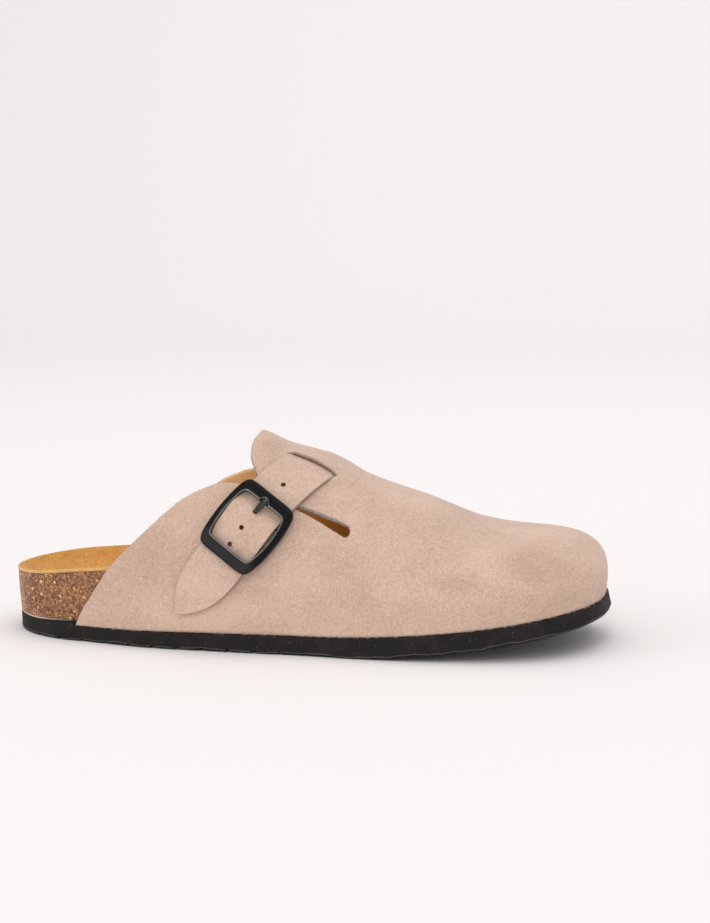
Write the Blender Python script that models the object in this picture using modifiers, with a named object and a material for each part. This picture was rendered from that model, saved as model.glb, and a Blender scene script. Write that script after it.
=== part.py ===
"""A right-foot clog: a suede upper on a cork footbed, with one buckled strap over the instep.

The pieces are those that a maker puts together: outsole, cork footbed, insole, upper, strap,
buckle frame and buckle prong. All are worked out from one last: the outline of the sole, the
ridge of the instep and the sections between them.

Sizes are in millimetres and MM turns them into metres. A station is the distance from the back
of the heel along +X, the lateral side is -Y, the medial side is +Y and the floor is Z = 0.
A girth runs over the last from -1 at the lateral edge of the sole, over 0 at the ridge, to +1
at the medial edge.
"""
from collections import namedtuple

import bmesh
import bpy
import numpy as np
from mathutils import Matrix, Vector

MM = 0.001

# Overall sizes
LENGTH = 278.0
SOLE_THICK = 8.9
SOLE_ROUND = 2.2
ROCKER_START = 171.5
ROCKER_POWER = 1.45
FEATHER_START = 150.0
FEATHER_POWER = 1.75
TOE_SPRING = 14.9
GAP = 0.3

# Outline of the sole
HEEL_ROUND = 35.0
TOE_ROUND = 216.0
TOE_POWER = 2.38
SWING_START = 167.0
TOE_SWING = 4.9

# Tread
TREAD_PITCH = 12.0
TREAD_WIDTH = 3.0
TREAD_DEPTH = 1.3
TREAD_WAVE = 2.0
TREAD_FIRST = 17.0
TREAD_LAST = 262.0
TREAD_WALL = 0.5
TREAD_WAVES = 3
SOLE_CHAMFER = 0.7

# Upper
UPPER_WALL = 1.9
FEATHER_INSET = 0.6
FAN_START = 236.0
FAN_SOFT = 10.0
QUARTER_REAR = 38.5
MEDIAL_DROP = 0.022
SLIT_END = 165.0
SLIT_NOSE = 3.5
SLOT_MIDDLE = 144.2
SLOT_HALF = 12.7
SLOT_GIRTH = 0.2
SLOT_SLOPE = 0.0019
SLOT_POWER = 24
SLOT_CUT = 0.006
SLOT_SKEW = 50.0
LIP_RISE = 2.4
LIP_DROP = 3.7
LIP_FADE = 0.1
HUMP_FRONT = (0.85, 1.95)
HUMP_REAR = (0.75, 1.45)
EVEN_FROM = 225.0
QUARTER_ROWS = (0.0, 0.25, 0.5, 0.75, 1.0)
NOSE_ROWS = (0.0, 0.2, 0.5, 0.8, 1.0)
LIP_ROWS = (0.0, 0.4, 0.66, 0.82, 0.92, 1.0)
CROWN_ROWS = (0.0, 0.34, 0.67, 1.0)
LIP_COLUMNS = (-1, -0.97, -0.92, -0.82, -0.3, 0.3, 0.82, 0.92, 0.97, 1)

# Footbed
INSOLE_THICK = 1.5
BOWL_POWER = 3.2
BARE_FROM = 14.0
BARE_TO = 36.0
BARE_INSET = 0.3
EDGE_SLACK = 0.25
ARCH_SPREAD = 25.0
BED_COLUMNS = 11

# Strap
STRAP_WIDTH = 22.2
STRAP_THICK = 1.8
STRAP_TIP = 33.0
STRAP_DEPTH = -1.6
HOLE_RADIUS = 1.2
HOLE_PITCH = 8.8
HOLE_COUNT = 5
HOLE_AHEAD = 1.5

# Buckle
BUCKLE_GIRTH = -0.644
BUCKLE_LIFT = 2.2
BUCKLE_SHIFT = 0.3
FRAME_HALF_LENGTH = 18.4
FRAME_HALF_WIDTH = 14.8
WINDOW_HALF_LENGTH = 12.8
WINDOW_HALF_WIDTH = 12.1
FRAME_THICK = 2.6
FRAME_DIP = 0.9
DIP_ENDS = (8.0, 11.5)
BAR_PLACE = 7.2
BAR_HEIGHT = -0.2
BAR_RADIUS = 0.6
PRONG_RADIUS = 0.5
PRONG_HALF_WIDTH = 0.85
PRONG_CLEAR = 0.2
FRAME_POWER = 5.2
WINDOW_POWER = 7.0
FRAME_COUNT = 44
BUCKLE_REACH = 13.0

Outline = namedtuple("Outline", "station lateral medial")
OUTLINE = [
    Outline(0, 28.7, 31.0),
    Outline(33, 32.5, 34.0),
    Outline(70, 40.6, 33.5),
    Outline(111, 43.5, 32.5),
    Outline(145, 44.7, 37.5),
    Outline(172, 46.8, 45.5),
    Outline(197, 47.9, 50.0),
    Outline(222, 46.4, 51.5),
    Outline(250, 45.3, 52.0),
    Outline(278, 45.0, 52.0),
]

Last = namedtuple("Last", "station ridge offset rise reach flare")
LAST = [
    Last(0, 96.0, 2.0, 46.0, 22.0, 6.0),
    Last(40, 98.0, 2.0, 50.0, 22.0, 4.0),
    Last(90, 98.0, 3.0, 51.0, 22.0, 2.5),
    Last(121, 93.8, 3.0, 49.0, 22.0, 2.0),
    Last(135, 86.7, 3.5, 45.0, 23.0, 1.5),
    Last(150, 81.2, 4.0, 40.5, 24.0, 1.5),
    Last(174, 72.1, 4.5, 36.0, 26.0, 2.0),
    Last(195, 65.1, 5.0, 32.0, 27.0, 2.0),
    Last(219, 56.3, 6.0, 27.0, 28.0, 3.0),
    Last(241, 51.5, 6.5, 26.0, 35.0, 5.0),
    Last(278, 51.0, 6.5, 26.0, 37.0, 5.0),
]

Footbed = namedtuple("Footbed", "station centre lateral medial")
FOOTBED = [
    Footbed(0, 18.5, 29.0, 29.0),
    Footbed(35, 17.5, 32.6, 31.2),
    Footbed(70, 19.0, 36.0, 34.0),
    Footbed(105, 21.0, 37.0, 38.0),
    Footbed(140, 19.0, 32.0, 36.0),
    Footbed(175, 16.8, 25.0, 28.0),
    Footbed(205, 18.0, 23.0, 24.5),
    Footbed(240, 22.5, 26.5, 27.0),
    Footbed(278, 29.0, 33.0, 33.0),
]

Edge = namedtuple("Edge", "station girth")
QUARTER_TOP = [
    Edge(38.5, 0.98),
    Edge(46, 0.922),
    Edge(55, 0.828),
    Edge(67, 0.735),
    Edge(80.5, 0.63),
    Edge(90.5, 0.552),
    Edge(100.5, 0.50),
    Edge(107, 0.475),
    Edge(114, 0.468),
    Edge(122, 0.473),
    Edge(142.5, 0.497),
    Edge(150, 0.514),
    Edge(158, 0.539),
    Edge(165, 0.564),
]
FLAP_LOWER = [
    Edge(118, 0.462),
    Edge(143, 0.469),
    Edge(153, 0.472),
    Edge(162, 0.482),
    Edge(165, 0.488),
]
Rear = namedtuple("Rear", "station reach")
FLAP_REAR = [
    Rear(0.0, 120.7),
    Rear(0.05, 120.4),
    Rear(0.1, 119.4),
    Rear(0.185, 118.5),
    Rear(0.257, 118.5),
    Rear(0.32, 119.5),
    Rear(0.362, 121.5),
    Rear(0.402, 124.0),
    Rear(0.435, 129.0),
    Rear(0.47, 140.0),
]

Path = namedtuple("Path", "station place")
STRAP_PATH = [
    Path(-0.952, 89.0),
    Path(-0.768, 110.0),
    Path(-0.714, 114.5),
    Path(-0.649, 119.6),
    Path(-0.577, 124.8),
    Path(-0.417, 134.3),
    Path(-0.266, 141.5),
    Path(-0.197, 144.3),
    Path(0.0, 145.2),
    Path(0.197, 144.3),
    Path(0.266, 141.5),
    Path(0.417, 134.3),
    Path(0.577, 124.8),
    Path(0.72, 114.0),
]

Lift = namedtuple("Lift", "station lift")
BUCKLE_LIFTS = [
    Lift(-27.0, 0.0),
    Lift(-18.4, 0.7),
    Lift(-15.5, 0.7),
    Lift(-12.8, 0.55),
    Lift(-6.0, 1.6),
    Lift(1.0, 2.6),
    Lift(7.2, 3.0),
    Lift(9.6, 2.1),
    Lift(12.0, 0.8),
    Lift(15.5, 0.9),
    Lift(19.0, 0.9),
    Lift(29.0, 0.0),
]


Step = namedtuple("Step", "share height")
FRAME_STEPS = [
    Step(0.06, 0.0),
    Step(0.0, 0.5),
    Step(0.0, 1.7),
    Step(0.16, FRAME_THICK),
    Step(0.68, FRAME_THICK),
    Step(0.98, 1.2),
    Step(1.0, 0.5),
    Step(0.94, 0.0),
]

Bend = namedtuple("Bend", "along height")
PRONG_TOP = FRAME_THICK + GAP + PRONG_RADIUS
PRONG_RISE = [
    Bend(BAR_PLACE + 1.5, 0.5),
    Bend(BAR_PLACE + 2.1, 1.9),
    Bend(BAR_PLACE + 2.9, 2.9),
    Bend(BAR_PLACE + 4.2, PRONG_TOP + 0.1),
    Bend(WINDOW_HALF_LENGTH + 0.6, PRONG_TOP + 0.1),
    Bend(WINDOW_HALF_LENGTH + 2.9, PRONG_TOP),
]


def smooth(table, column, at):
    """Smooth curve through one column of a table, read at the stations `at`."""
    knots = np.array([row.station for row in table], float)
    values = np.array([getattr(row, column) for row in table], float)
    steps = np.diff(knots)
    slopes = np.diff(values) / steps
    inner = (slopes[:-1] * steps[1:] + slopes[1:] * steps[:-1]) / (steps[1:] + steps[:-1])
    tangents = np.concatenate([slopes[:1], inner, slopes[-1:]])
    at = np.clip(at, knots[0], knots[-1])
    i = np.clip(np.searchsorted(knots, at) - 1, 0, len(steps) - 1)
    t = (at - knots[i]) / steps[i]
    ends = values[i] * (1 + 2 * t) * (1 - t) ** 2 + values[i + 1] * t * t * (3 - 2 * t)
    leans = tangents[i] * t * (1 - t) ** 2 - tangents[i + 1] * t * t * (1 - t)
    return ends + steps[i] * leans


def ramp(at, start, end):
    """Smooth step from 0 at `start` to 1 at `end`."""
    t = np.clip((at - start) / (end - start), 0, 1)
    return t * t * (3 - 2 * t)


def unit(vectors):
    """Vectors brought to length 1."""
    return vectors / np.linalg.norm(vectors, axis=-1, keepdims=True)


def spring(station, start, power):
    """Rise toward the toe: none behind `start`, the full toe spring at the tip."""
    part = np.clip((station - start) / (LENGTH - start), 0, 2)
    return TOE_SPRING * part ** power


def rocker(station):
    """Height of the sole's underside: flat from the heel to the ball, sprung at the toe."""
    return spring(station, ROCKER_START, ROCKER_POWER)


def sole_top(station):
    """Height of the outsole's top face."""
    return spring(station, FEATHER_START, FEATHER_POWER) + SOLE_THICK


def heel_near(station):
    """Nearness to the heel's back: 0 in front of the heel's round, 1 at its back."""
    return np.clip((HEEL_ROUND - station) / HEEL_ROUND, 0, 1)


def toe_near(station):
    """Nearness to the tip of the toe: 0 behind the toe's round, 1 at the tip."""
    return np.clip((station - TOE_ROUND) / (LENGTH - TOE_ROUND), 0, 1)


def half_width(station, side):
    """Half width of the sole before its ends are rounded off."""
    lateral = smooth(OUTLINE, "lateral", station)
    return np.where(side < 0, lateral, smooth(OUTLINE, "medial", station))


def swing(station):
    """Sideways swing of the toe toward the big toe."""
    return TOE_SWING * np.clip((station - SWING_START) / (LENGTH - SWING_START), 0, 1) ** 2


def sole_edge(station, side):
    """Y of the sole's edge on one side, -1 lateral and +1 medial."""
    heel = np.sqrt(1 - heel_near(station) ** 2)
    toe = (1 - toe_near(station) ** TOE_POWER) ** (1 / TOE_POWER)
    return swing(station) + (side * half_width(station, side) - swing(station)) * heel * toe


def outward(station, side):
    """Plan direction that points out of the sole's edge, square to it."""
    turn = np.arccos(np.clip(1 - 2 * station / LENGTH, -1, 1))
    before = LENGTH * (1 - np.cos(np.clip(turn - 0.001, 0, np.pi))) / 2
    after = LENGTH * (1 - np.cos(np.clip(turn + 0.001, 0, np.pi))) / 2
    along = after - before
    across = sole_edge(after, side) - sole_edge(before, side)
    return unit(np.stack([-side * across, side * along], -1))


def edge_point(station, side, inset, height):
    """Point at the sole's edge, moved in by `inset` and set at `height`."""
    out = outward(station, side)
    x = station - out[..., 0] * inset
    y = sole_edge(station, side) - out[..., 1] * inset
    return np.stack([x, y, np.broadcast_to(height, x.shape)], -1)


def section(station, side):
    """Four handles of the last's section: edge, wall, crown and ridge."""
    foot = edge_point(station, side, FEATHER_INSET, sole_top(station) + GAP)
    out = outward(station, side)
    spine = station - FAN_SOFT * np.logaddexp(0, (station - FAN_START) / FAN_SOFT)
    height = smooth(LAST, "ridge", spine)
    slope = smooth(LAST, "ridge", spine + 0.5) - smooth(LAST, "ridge", spine - 0.5)
    ridge = np.stack([spine, smooth(LAST, "offset", spine), height], -1)
    flare = smooth(LAST, "flare", station)[..., None] * out
    reach = smooth(LAST, "reach", station)
    wall = foot + np.concatenate([flare, smooth(LAST, "rise", station)[..., None]], -1)
    toward = unit(foot[..., :2] - ridge[..., :2])
    lean = np.stack([toward[..., 0], toward[..., 1], slope * toward[..., 0]], -1)
    return foot, wall, ridge + lean * reach[..., None], ridge


def blend(handles, t):
    """Cubic curve over four handles."""
    t = np.asarray(t)[..., None]
    ends = handles[0] * (1 - t) ** 3 + handles[3] * t ** 3
    return ends + 3 * t * (1 - t) * (handles[1] * (1 - t) + handles[2] * t)


def last_point(station, girth):
    """Point on the last, which is the outer face of the upper where it lies smooth."""
    station, girth = np.broadcast_arrays(np.asarray(station, float), np.asarray(girth, float))
    side = np.where(girth < 0, -1.0, 1.0)
    return blend(section(station, side), 1 - np.abs(girth))


def last_normal(station, girth):
    """Direction that points out of the last."""
    station, girth = np.broadcast_arrays(np.asarray(station, float), np.asarray(girth, float))
    low = np.clip(girth - 0.001, -1, 1)
    high = np.clip(girth + 0.001, -1, 1)
    back = np.clip(station - 0.05, 0, LENGTH)
    front = np.clip(station + 0.05, 0, LENGTH)
    along = last_point(front, girth) - last_point(back, girth)
    around = last_point(station, high) - last_point(station, low)
    return unit(np.cross(along, around))


def wall_point(station, side, height, inset):
    """Point of the last's wall at a height, moved in by `inset`."""
    handles = section(station, side)
    t = np.zeros_like(station)
    for _ in range(12):
        z = blend(handles, t)[..., 2]
        dz = (blend(handles, t + 0.001)[..., 2] - z) / 0.001
        t = t + (height - z) / dz
    point = blend(handles, t)
    point[..., :2] -= outward(station, side) * np.asarray(inset)[..., None]
    return point


def slot_girth(station):
    """Girth of the strap's slot in the flap."""
    return SLOT_GIRTH + SLOT_SLOPE * np.clip(station - SLOT_MIDDLE, -4, 14)


def flap_lift(station, girth, below):
    """Rise of the upper where the strap passes under the flap, and dip of the slot's lower lip."""
    past = np.clip(np.abs(girth) - slot_girth(station), 0, LIP_FADE)
    along = (station - SLOT_MIDDLE + SLOT_SKEW * past) / SLOT_HALF
    hump = (1 - ramp(along, *HUMP_FRONT)) * (1 - ramp(-along, *HUMP_REAR))
    mouth = np.where(below, 1 - np.clip(np.abs(along), 0, 1) ** SLOT_POWER, 0)
    lift = LIP_RISE * hump - (LIP_RISE + LIP_DROP) * mouth
    return lift * 0.5 * (1 + np.cos(np.pi * past / LIP_FADE))


def upper_point(station, girth, below):
    """Outer face of the upper."""
    lift = flap_lift(station, girth, below)
    return last_point(station, girth) + last_normal(station, girth) * lift[..., None]


def bed_height(x, y):
    """Height of the insole's top: a dished heel seat, an arch and a level forefoot."""
    side = np.where(y < swing(x), -1.0, 1.0)
    across = np.abs(y - swing(x)) / np.abs(side * half_width(x, side) - swing(x))
    power = 2 + (TOE_POWER - 2) * ramp(x, 100, 200)
    near = (across ** power + np.maximum(heel_near(x), toe_near(x)) ** power) ** (1 / power)
    part = 0.5 + 0.5 * np.clip((y - swing(x)) / ARCH_SPREAD, -1, 1)
    lateral = smooth(FOOTBED, "lateral", x)
    rim = lateral + (smooth(FOOTBED, "medial", x) - lateral) * part
    centre = smooth(FOOTBED, "centre", x)
    return centre + (rim - centre) * np.clip(near, 0, 1) ** BOWL_POWER


def bed_inset(station):
    """Inset of the footbed's wall: bare at the heel, behind the upper's wall farther forward."""
    covered = UPPER_WALL + GAP + EDGE_SLACK
    return BARE_INSET + (covered - BARE_INSET) * ramp(station, BARE_FROM, BARE_TO)


def bed_rim(station, side):
    """Upper edge of the insole on one side."""
    height = bed_height(station, sole_edge(station, side))
    return wall_point(station, side, height, bed_inset(station))


def heel_stations(count):
    """Stations round the heel, closer together toward its back."""
    return HEEL_ROUND * (1 - np.cos(np.linspace(0, np.pi / 2, count)))


def toe_stations(count):
    """Stations round the toe, closer together toward its tip."""
    return TOE_ROUND + (LENGTH - TOE_ROUND) * np.sin(np.linspace(0, np.pi / 2, count))


def body_stations():
    """Stations of the footbed and the lower edge of the upper."""
    middle = np.concatenate([[QUARTER_REAR], np.arange(46, 160, 8.0), [SLIT_END]])
    front = np.array([172.0, 180.0, 189.0, 198.0, 207.0])
    return np.concatenate([heel_stations(8)[:-1], middle, front, toe_stations(12)])


def collection_of(name):
    """Collection with this name in the scene."""
    made = bpy.data.collections.new(name)
    bpy.context.scene.collection.children.link(made)
    return made


def material_of(name, colour, roughness, metallic=0.0):
    """Plain material."""
    made = bpy.data.materials.new(name)
    made.use_nodes = True
    shader = made.node_tree.nodes["Principled BSDF"]
    shader.inputs["Base Color"].default_value = (*colour, 1.0)
    shader.inputs["Roughness"].default_value = roughness
    shader.inputs["Metallic"].default_value = metallic
    return made


def origin_shift():
    """Move from the heel's back to the middle of the clog's box, in millimetres."""
    rows = [sole_rings(sole_stations()).reshape(-1, 3), *bed_grid(3)]
    box = np.concatenate(rows)
    return -0.5 * (box.min(0) + box.max(0)) * np.array([1, 1, 0])


def to_world(points):
    """Points in metres round the middle of the clog's box."""
    return (np.asarray(points) + origin_shift()) * MM


def object_of(name, mesh, collection, material):
    """Object in a collection, with its material."""
    made = bpy.data.objects.new(name, mesh)
    mesh.materials.append(material)
    collection.objects.link(made)
    return made


def mesh_of(name, points, faces):
    """Mesh with doubled points joined and faces turned outward."""
    mesh = bpy.data.meshes.new(name)
    mesh.from_pydata([tuple(p) for p in points], [], faces)
    work = bmesh.new()
    work.from_mesh(mesh)
    bmesh.ops.remove_doubles(work, verts=work.verts, dist=0.00002)
    bmesh.ops.dissolve_degenerate(work, edges=work.edges, dist=0.000005)
    bmesh.ops.triangulate(work, faces=work.faces, quad_method="SHORT_EDGE")
    bmesh.ops.recalc_face_normals(work, faces=work.faces)
    work.to_mesh(mesh)
    work.free()
    return mesh


def grid_faces(rows, columns, start=0, closed=False):
    """Four-sided faces of a grid of points, rows first."""
    last = columns if closed else columns - 1
    faces = []
    for i in range(rows - 1):
        for j in range(last):
            k = (j + 1) % columns
            a, b = start + i * columns, start + (i + 1) * columns
            faces.append((a + j, a + k, b + k, b + j))
    return faces


def split_faces(faces, columns, turned):
    """Triangles of a grid's faces; the diagonal turns from column `turned` on."""
    parts = []
    for number, (a, b, c, d) in enumerate(faces):
        if number % columns < turned:
            parts.extend([(a, b, c), (a, c, d)])
        else:
            parts.extend([(a, b, d), (b, c, d)])
    return parts


def loft(name, rings, turned=1000):
    """Closed mesh through rings of points; rings that close to a line end it by themselves."""
    rows, columns = rings.shape[:2]
    faces = split_faces(grid_faces(rows, columns, closed=True), columns, turned)
    for ring in (0, rows - 1):
        if np.ptp(rings[ring].reshape(-1, 3), axis=0)[1] > 0.5:
            faces.append(tuple(range(ring * columns, (ring + 1) * columns)))
    return mesh_of(name, to_world(rings.reshape(-1, 3)), faces)


def sole_stations():
    """Stations of the outsole: its round ends and both walls of every groove."""
    grooves = np.arange(TREAD_FIRST, TREAD_LAST, TREAD_PITCH)
    half = 0.5 * TREAD_WIDTH
    inner = half - TREAD_WALL
    walls = np.concatenate([grooves + d for d in (-half, -inner, inner, half)])
    ends = np.concatenate([heel_stations(8), toe_stations(12)])
    clear = np.min(np.abs(ends[:, None] - walls[None, :]), axis=1) > 0.6
    return np.sort(np.concatenate([walls, ends[clear]]))


def groove(station):
    """Depth of the tread's grooves at a station: full inside a groove, none on the lugs."""
    place = (station - TREAD_FIRST + 0.5 * TREAD_PITCH) % TREAD_PITCH - 0.5 * TREAD_PITCH
    inside = (station > TREAD_FIRST - TREAD_WIDTH) & (station < TREAD_LAST + TREAD_WIDTH)
    return TREAD_DEPTH * inside * (np.abs(place) < 0.5 * (TREAD_WIDTH - TREAD_WALL))


def sole_rings(stations):
    """Cross rings of the outsole, from the lateral top edge under the foot to the medial one."""
    slope = rocker(stations + 0.5) - rocker(stations - 0.5)
    down = unit(np.stack([slope, np.zeros_like(slope), -np.ones_like(slope)], -1))
    cut = groove(stations)
    top = sole_top(stations)
    thick = top - rocker(stations)
    depths = [0 * thick, thick - SOLE_ROUND, thick - SOLE_CHAMFER]
    insets = [0.0, 0.0, SOLE_CHAMFER]
    sides = []
    for side in (-1.0, 1.0):
        rows = []
        for depth, inset in zip(depths, insets):
            depth = np.minimum(depth, thick - cut)
            point = edge_point(stations, side, inset, top)
            rows.append(point + down * depth[:, None])
        sides.append(rows)
    floor = []
    for side in (-1.0, 1.0):
        point = edge_point(stations, side, SOLE_ROUND, top)
        floor.append(point + down * (thick - cut)[:, None])
    across = np.linspace(0, 1, 7)
    under = []
    for part in across:
        point = floor[0] * (1 - part) + floor[1] * part
        wave = TREAD_WAVE * np.sin(TREAD_WAVES * np.pi * part) * np.sin(np.pi * part)
        calm = ramp(stations, 8, 22) * (1 - ramp(stations, 256, 272))
        point[:, 0] += wave * calm
        under.append(point)
    ring = sides[0] + under + sides[1][::-1]
    return np.stack(ring, 1)


def build_outsole(collection):
    """Outsole: outline, toe spring, rounded lower edge and wavy cross grooves."""
    mesh = loft("outsole", sole_rings(sole_stations()))
    return object_of("outsole", mesh, collection, material_of("sole_rubber", (0.02, 0.02, 0.022), 0.7))


def bed_grid(count):
    """Rows of points over the insole's top, from the lateral rim to the medial one."""
    stations = body_stations()
    left, right = (bed_rim(stations, side) for side in (-1.0, 1.0))
    rows = []
    for part in np.linspace(0, 1, count):
        point = left * (1 - part) + right * part
        if 0 < part < 1:
            point[:, 2] = bed_height(point[:, 0], point[:, 1])
        rows.append(point)
    return rows


def build_cork(collection):
    """Cork footbed: flared wall and a dished top under the insole."""
    stations = body_stations()
    inset = bed_inset(stations)
    top = [row - np.array([0, 0, INSOLE_THICK + GAP]) for row in bed_grid(BED_COLUMNS)]
    base = sole_top(stations) + GAP
    walls = []
    for side, rim in ((-1.0, top[0]), (1.0, top[-1])):
        middle = 0.5 * (base + rim[:, 2])
        walls.append([wall_point(stations, side, height, inset) for height in (base, middle)])
    rings = np.stack(walls[0] + top + walls[1][::-1], 1)
    mesh = loft("cork_footbed", rings)
    return object_of("cork_footbed", mesh, collection, material_of("cork", (0.28, 0.16, 0.08), 0.85))


def build_insole(collection):
    """Insole: a thin sheet that follows the footbed and shows its edge at the heel."""
    top = bed_grid(BED_COLUMNS)
    low = [row - np.array([0, 0, INSOLE_THICK]) for row in top[::-1]]
    mesh = loft("insole", np.stack(top + low, 1), len(top))
    return object_of("insole", mesh, collection, material_of("lining", (0.55, 0.33, 0.13), 0.9))


def quarter_grid(side, stations):
    """Grid of one quarter, from the sole's edge to its top edge."""
    top = smooth(QUARTER_TOP, "girth", stations)
    if side > 0:
        top = top + MEDIAL_DROP * ramp(stations, 60, 95) * (1 - ramp(stations, 112, 140))
    girth = 1 + (top[:, None] - 1) * np.array(QUARTER_ROWS)[None, :]
    station = np.broadcast_to(stations[:, None], girth.shape)
    return station, side * girth


def flap_columns():
    """Columns of the flap: the slot's ends and the lips between them, as stations at the slot."""
    lips = SLOT_MIDDLE + SLOT_HALF * np.array(LIP_COLUMNS)
    return np.concatenate([[118.5, 122.5, 127.5], lips, [161.5, SLIT_END]])


def flap_grid(side, start, end, rows, below):
    """Grid of one strip of the flap between two girths, which may change along the stations."""
    columns = flap_columns()
    parts = (columns - columns[0]) / (SLIT_END - columns[0])
    station = np.zeros((len(columns), len(rows)))
    girth = np.zeros_like(station)
    for j, share in enumerate(rows):
        place = columns
        for _ in range(8):
            g = start(place) + (end(place) - start(place)) * share
            rear = smooth(FLAP_REAR, "reach", g)
            past = np.clip(g - slot_girth(place), 0, LIP_FADE)
            window = ramp(parts, 0.0, 0.28) * (1 - ramp(parts, 0.84, 1.0))
            place = rear + (SLIT_END - rear) * parts - SLOT_SKEW * past * window
        station[:, j] = place
        girth[:, j] = start(place) + (end(place) - start(place)) * share
    if below:
        along = np.clip(np.abs((station[:, -1] - SLOT_MIDDLE) / SLOT_HALF), 0, 1)
        girth[:, -1] += SLOT_CUT * (1 - along ** SLOT_POWER)
    return station, side * girth


def vamp_grid(side, stations):
    """Grid of one side of the vamp; its rear column carries quarter, slit's nose and flap."""
    low = float(smooth(QUARTER_TOP, "girth", SLIT_END))
    high = float(smooth(FLAP_LOWER, "girth", SLIT_END))
    slot = float(slot_girth(SLIT_END))
    bounds = [1.0, low, high, slot, 0.0]
    rows = (QUARTER_ROWS, NOSE_ROWS, LIP_ROWS, CROWN_ROWS)
    girths = [a + (b - a) * np.array(share[:-1]) for a, b, share in zip(bounds, bounds[1:], rows)]
    girths = np.append(np.concatenate(girths), 0.0)
    even = np.linspace(1, 0, len(girths))
    calm = ramp(stations, SLIT_END, EVEN_FROM)[:, None]
    girth = girths[None, :] * (1 - calm) + even[None, :] * calm
    station = np.repeat(stations[:, None], len(girths), 1)
    middle = (girths - high) / (low - high)
    nose = np.where((middle > 0) & (middle < 1), np.sqrt(np.clip(1 - (2 * middle - 1) ** 2, 0, 1)), 0)
    station[0] += SLIT_NOSE * nose
    return station, side * girth


def upper_sheet():
    """Outer face of the upper as points and faces: quarters, flap strips and vamp on both sides."""
    stations = body_stations()
    quarter = stations[(stations >= QUARTER_REAR) & (stations <= SLIT_END)]
    front = stations[stations >= SLIT_END]
    points, faces = [], []
    count = 0

    def add(station, girth, below):
        """Add one grid."""
        nonlocal count
        grid = upper_point(station, girth, below)
        faces.extend(grid_faces(*station.shape, start=count))
        points.append(grid.reshape(-1, 3))
        count += station.size

    for side in (-1.0, 1.0):
        add(*quarter_grid(side, quarter), False)
        add(*flap_grid(side, lambda s: smooth(FLAP_LOWER, "girth", s), slot_girth, LIP_ROWS, True), True)
        add(*flap_grid(side, slot_girth, lambda s: 0 * s, CROWN_ROWS, False), False)
        add(*vamp_grid(side, front), False)
    return np.concatenate(points), faces


def build_upper(collection):
    """Upper: one sheet over the last with real thickness, open at the collar, heel and sole."""
    points, faces = upper_sheet()
    made = object_of("upper", mesh_of("upper", to_world(points), faces), collection,
                     material_of("suede", (0.42, 0.32, 0.25), 0.95))
    wall = made.modifiers.new("wall", "SOLIDIFY")
    wall.thickness = UPPER_WALL * MM
    wall.offset = -1.0
    wall.use_even_offset = True
    return made


def strap_centre(girth):
    """Middle line of the strap on the last."""
    station = smooth(STRAP_PATH, "place", girth)
    return station, last_point(station, girth)


def strap_run():
    """Middle line of the strap: girth, length from the buckle's middle and surface directions."""
    girth = np.linspace(STRAP_PATH[0].station, STRAP_PATH[-1].station, 1201)
    station, point = strap_centre(girth)
    run = np.concatenate([[0], np.cumsum(np.linalg.norm(np.diff(point, axis=0), axis=1))])
    return girth, station, point, run - np.interp(BUCKLE_GIRTH, girth, run)


def strap_lift(girth, station, run):
    """Height of the strap's underside above the last: it dives under the flap and climbs the hinge bar."""
    fade = np.clip((np.abs(girth) - slot_girth(station)) / (0.8 * LIP_FADE), 0, 1)
    dive = 0.5 * (1 + np.cos(np.pi * fade))
    return GAP + (STRAP_DEPTH - GAP) * dive + smooth(BUCKLE_LIFTS, "lift", run)


def strap_point(run, across, height):
    """Point of the strap at a length along it, a distance across it and a height on it."""
    girths, stations, points, runs = strap_run()
    girth = np.interp(run, runs, girths)
    station = np.interp(run, runs, stations)
    along = unit(np.stack([np.interp(run + 0.5, runs, points[:, k]) - np.interp(run - 0.5, runs, points[:, k])
                           for k in range(3)], -1))
    normal = last_normal(station, girth)
    cross = unit(np.cross(along, normal))
    by_station = (last_point(station + 0.5, girth) - last_point(station - 0.5, girth))
    by_girth = (last_point(station, girth + 0.002) - last_point(station, girth - 0.002)) / 0.004
    aa = np.sum(by_station * by_station, -1)
    bb = np.sum(by_girth * by_girth, -1)
    ab = np.sum(by_station * by_girth, -1)
    ac = np.sum(by_station * cross, -1)
    bc = np.sum(by_girth * cross, -1)
    step_station = (ac * bb - bc * ab) / (aa * bb - ab * ab)
    step_girth = (bc * aa - ac * ab) / (aa * bb - ab * ab)
    station = station + across * step_station
    girth = np.clip(girth + across * step_girth, -1, 1)
    lift = strap_lift(girth, station, run) + height
    return last_point(station, girth) + last_normal(station, girth) * lift[..., None]


def strap_half(run):
    """Half width of the strap: full along its length, rounded to a point at the tip."""
    first = strap_run()[3][0]
    part = np.clip((first + STRAP_TIP - run) / STRAP_TIP, 0, 1)
    return np.maximum(0.5 * STRAP_WIDTH * (1 - part ** 2.6) ** 0.75, 0.25)


def strap_lengths():
    """Lengths along the strap where its cross sections stand, closer where it bends."""
    runs = strap_run()[3]
    tip = runs[0] + STRAP_TIP * (1 - np.cos(np.linspace(0, np.pi / 2, 8))) * 0.999
    low = np.array([-21.0, -18.0, -15.0, -12.0, -8.0, -4.0, 0.0, 3.5, 6.0, 8.0, 10.0, 12.0, 14.0, 16.5])
    rest = [np.linspace(20, 29, 3), np.linspace(32, 50, 10), np.linspace(54, 66, 4), np.linspace(69, 93, 13),
            np.linspace(98, runs[-1], 5)]
    return np.concatenate([tip[tip < -22.5], low, *rest])


def strap_rings():
    """Cross rings of the strap: underside, then top side back."""
    run = strap_lengths()
    half = strap_half(run)
    low = [strap_point(run, half * part, 0.0) for part in np.linspace(-1, 1, 5)]
    high = [strap_point(run, half * part, STRAP_THICK) for part in np.linspace(1, -1, 5)]
    return np.stack(low + high, 1)


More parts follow.
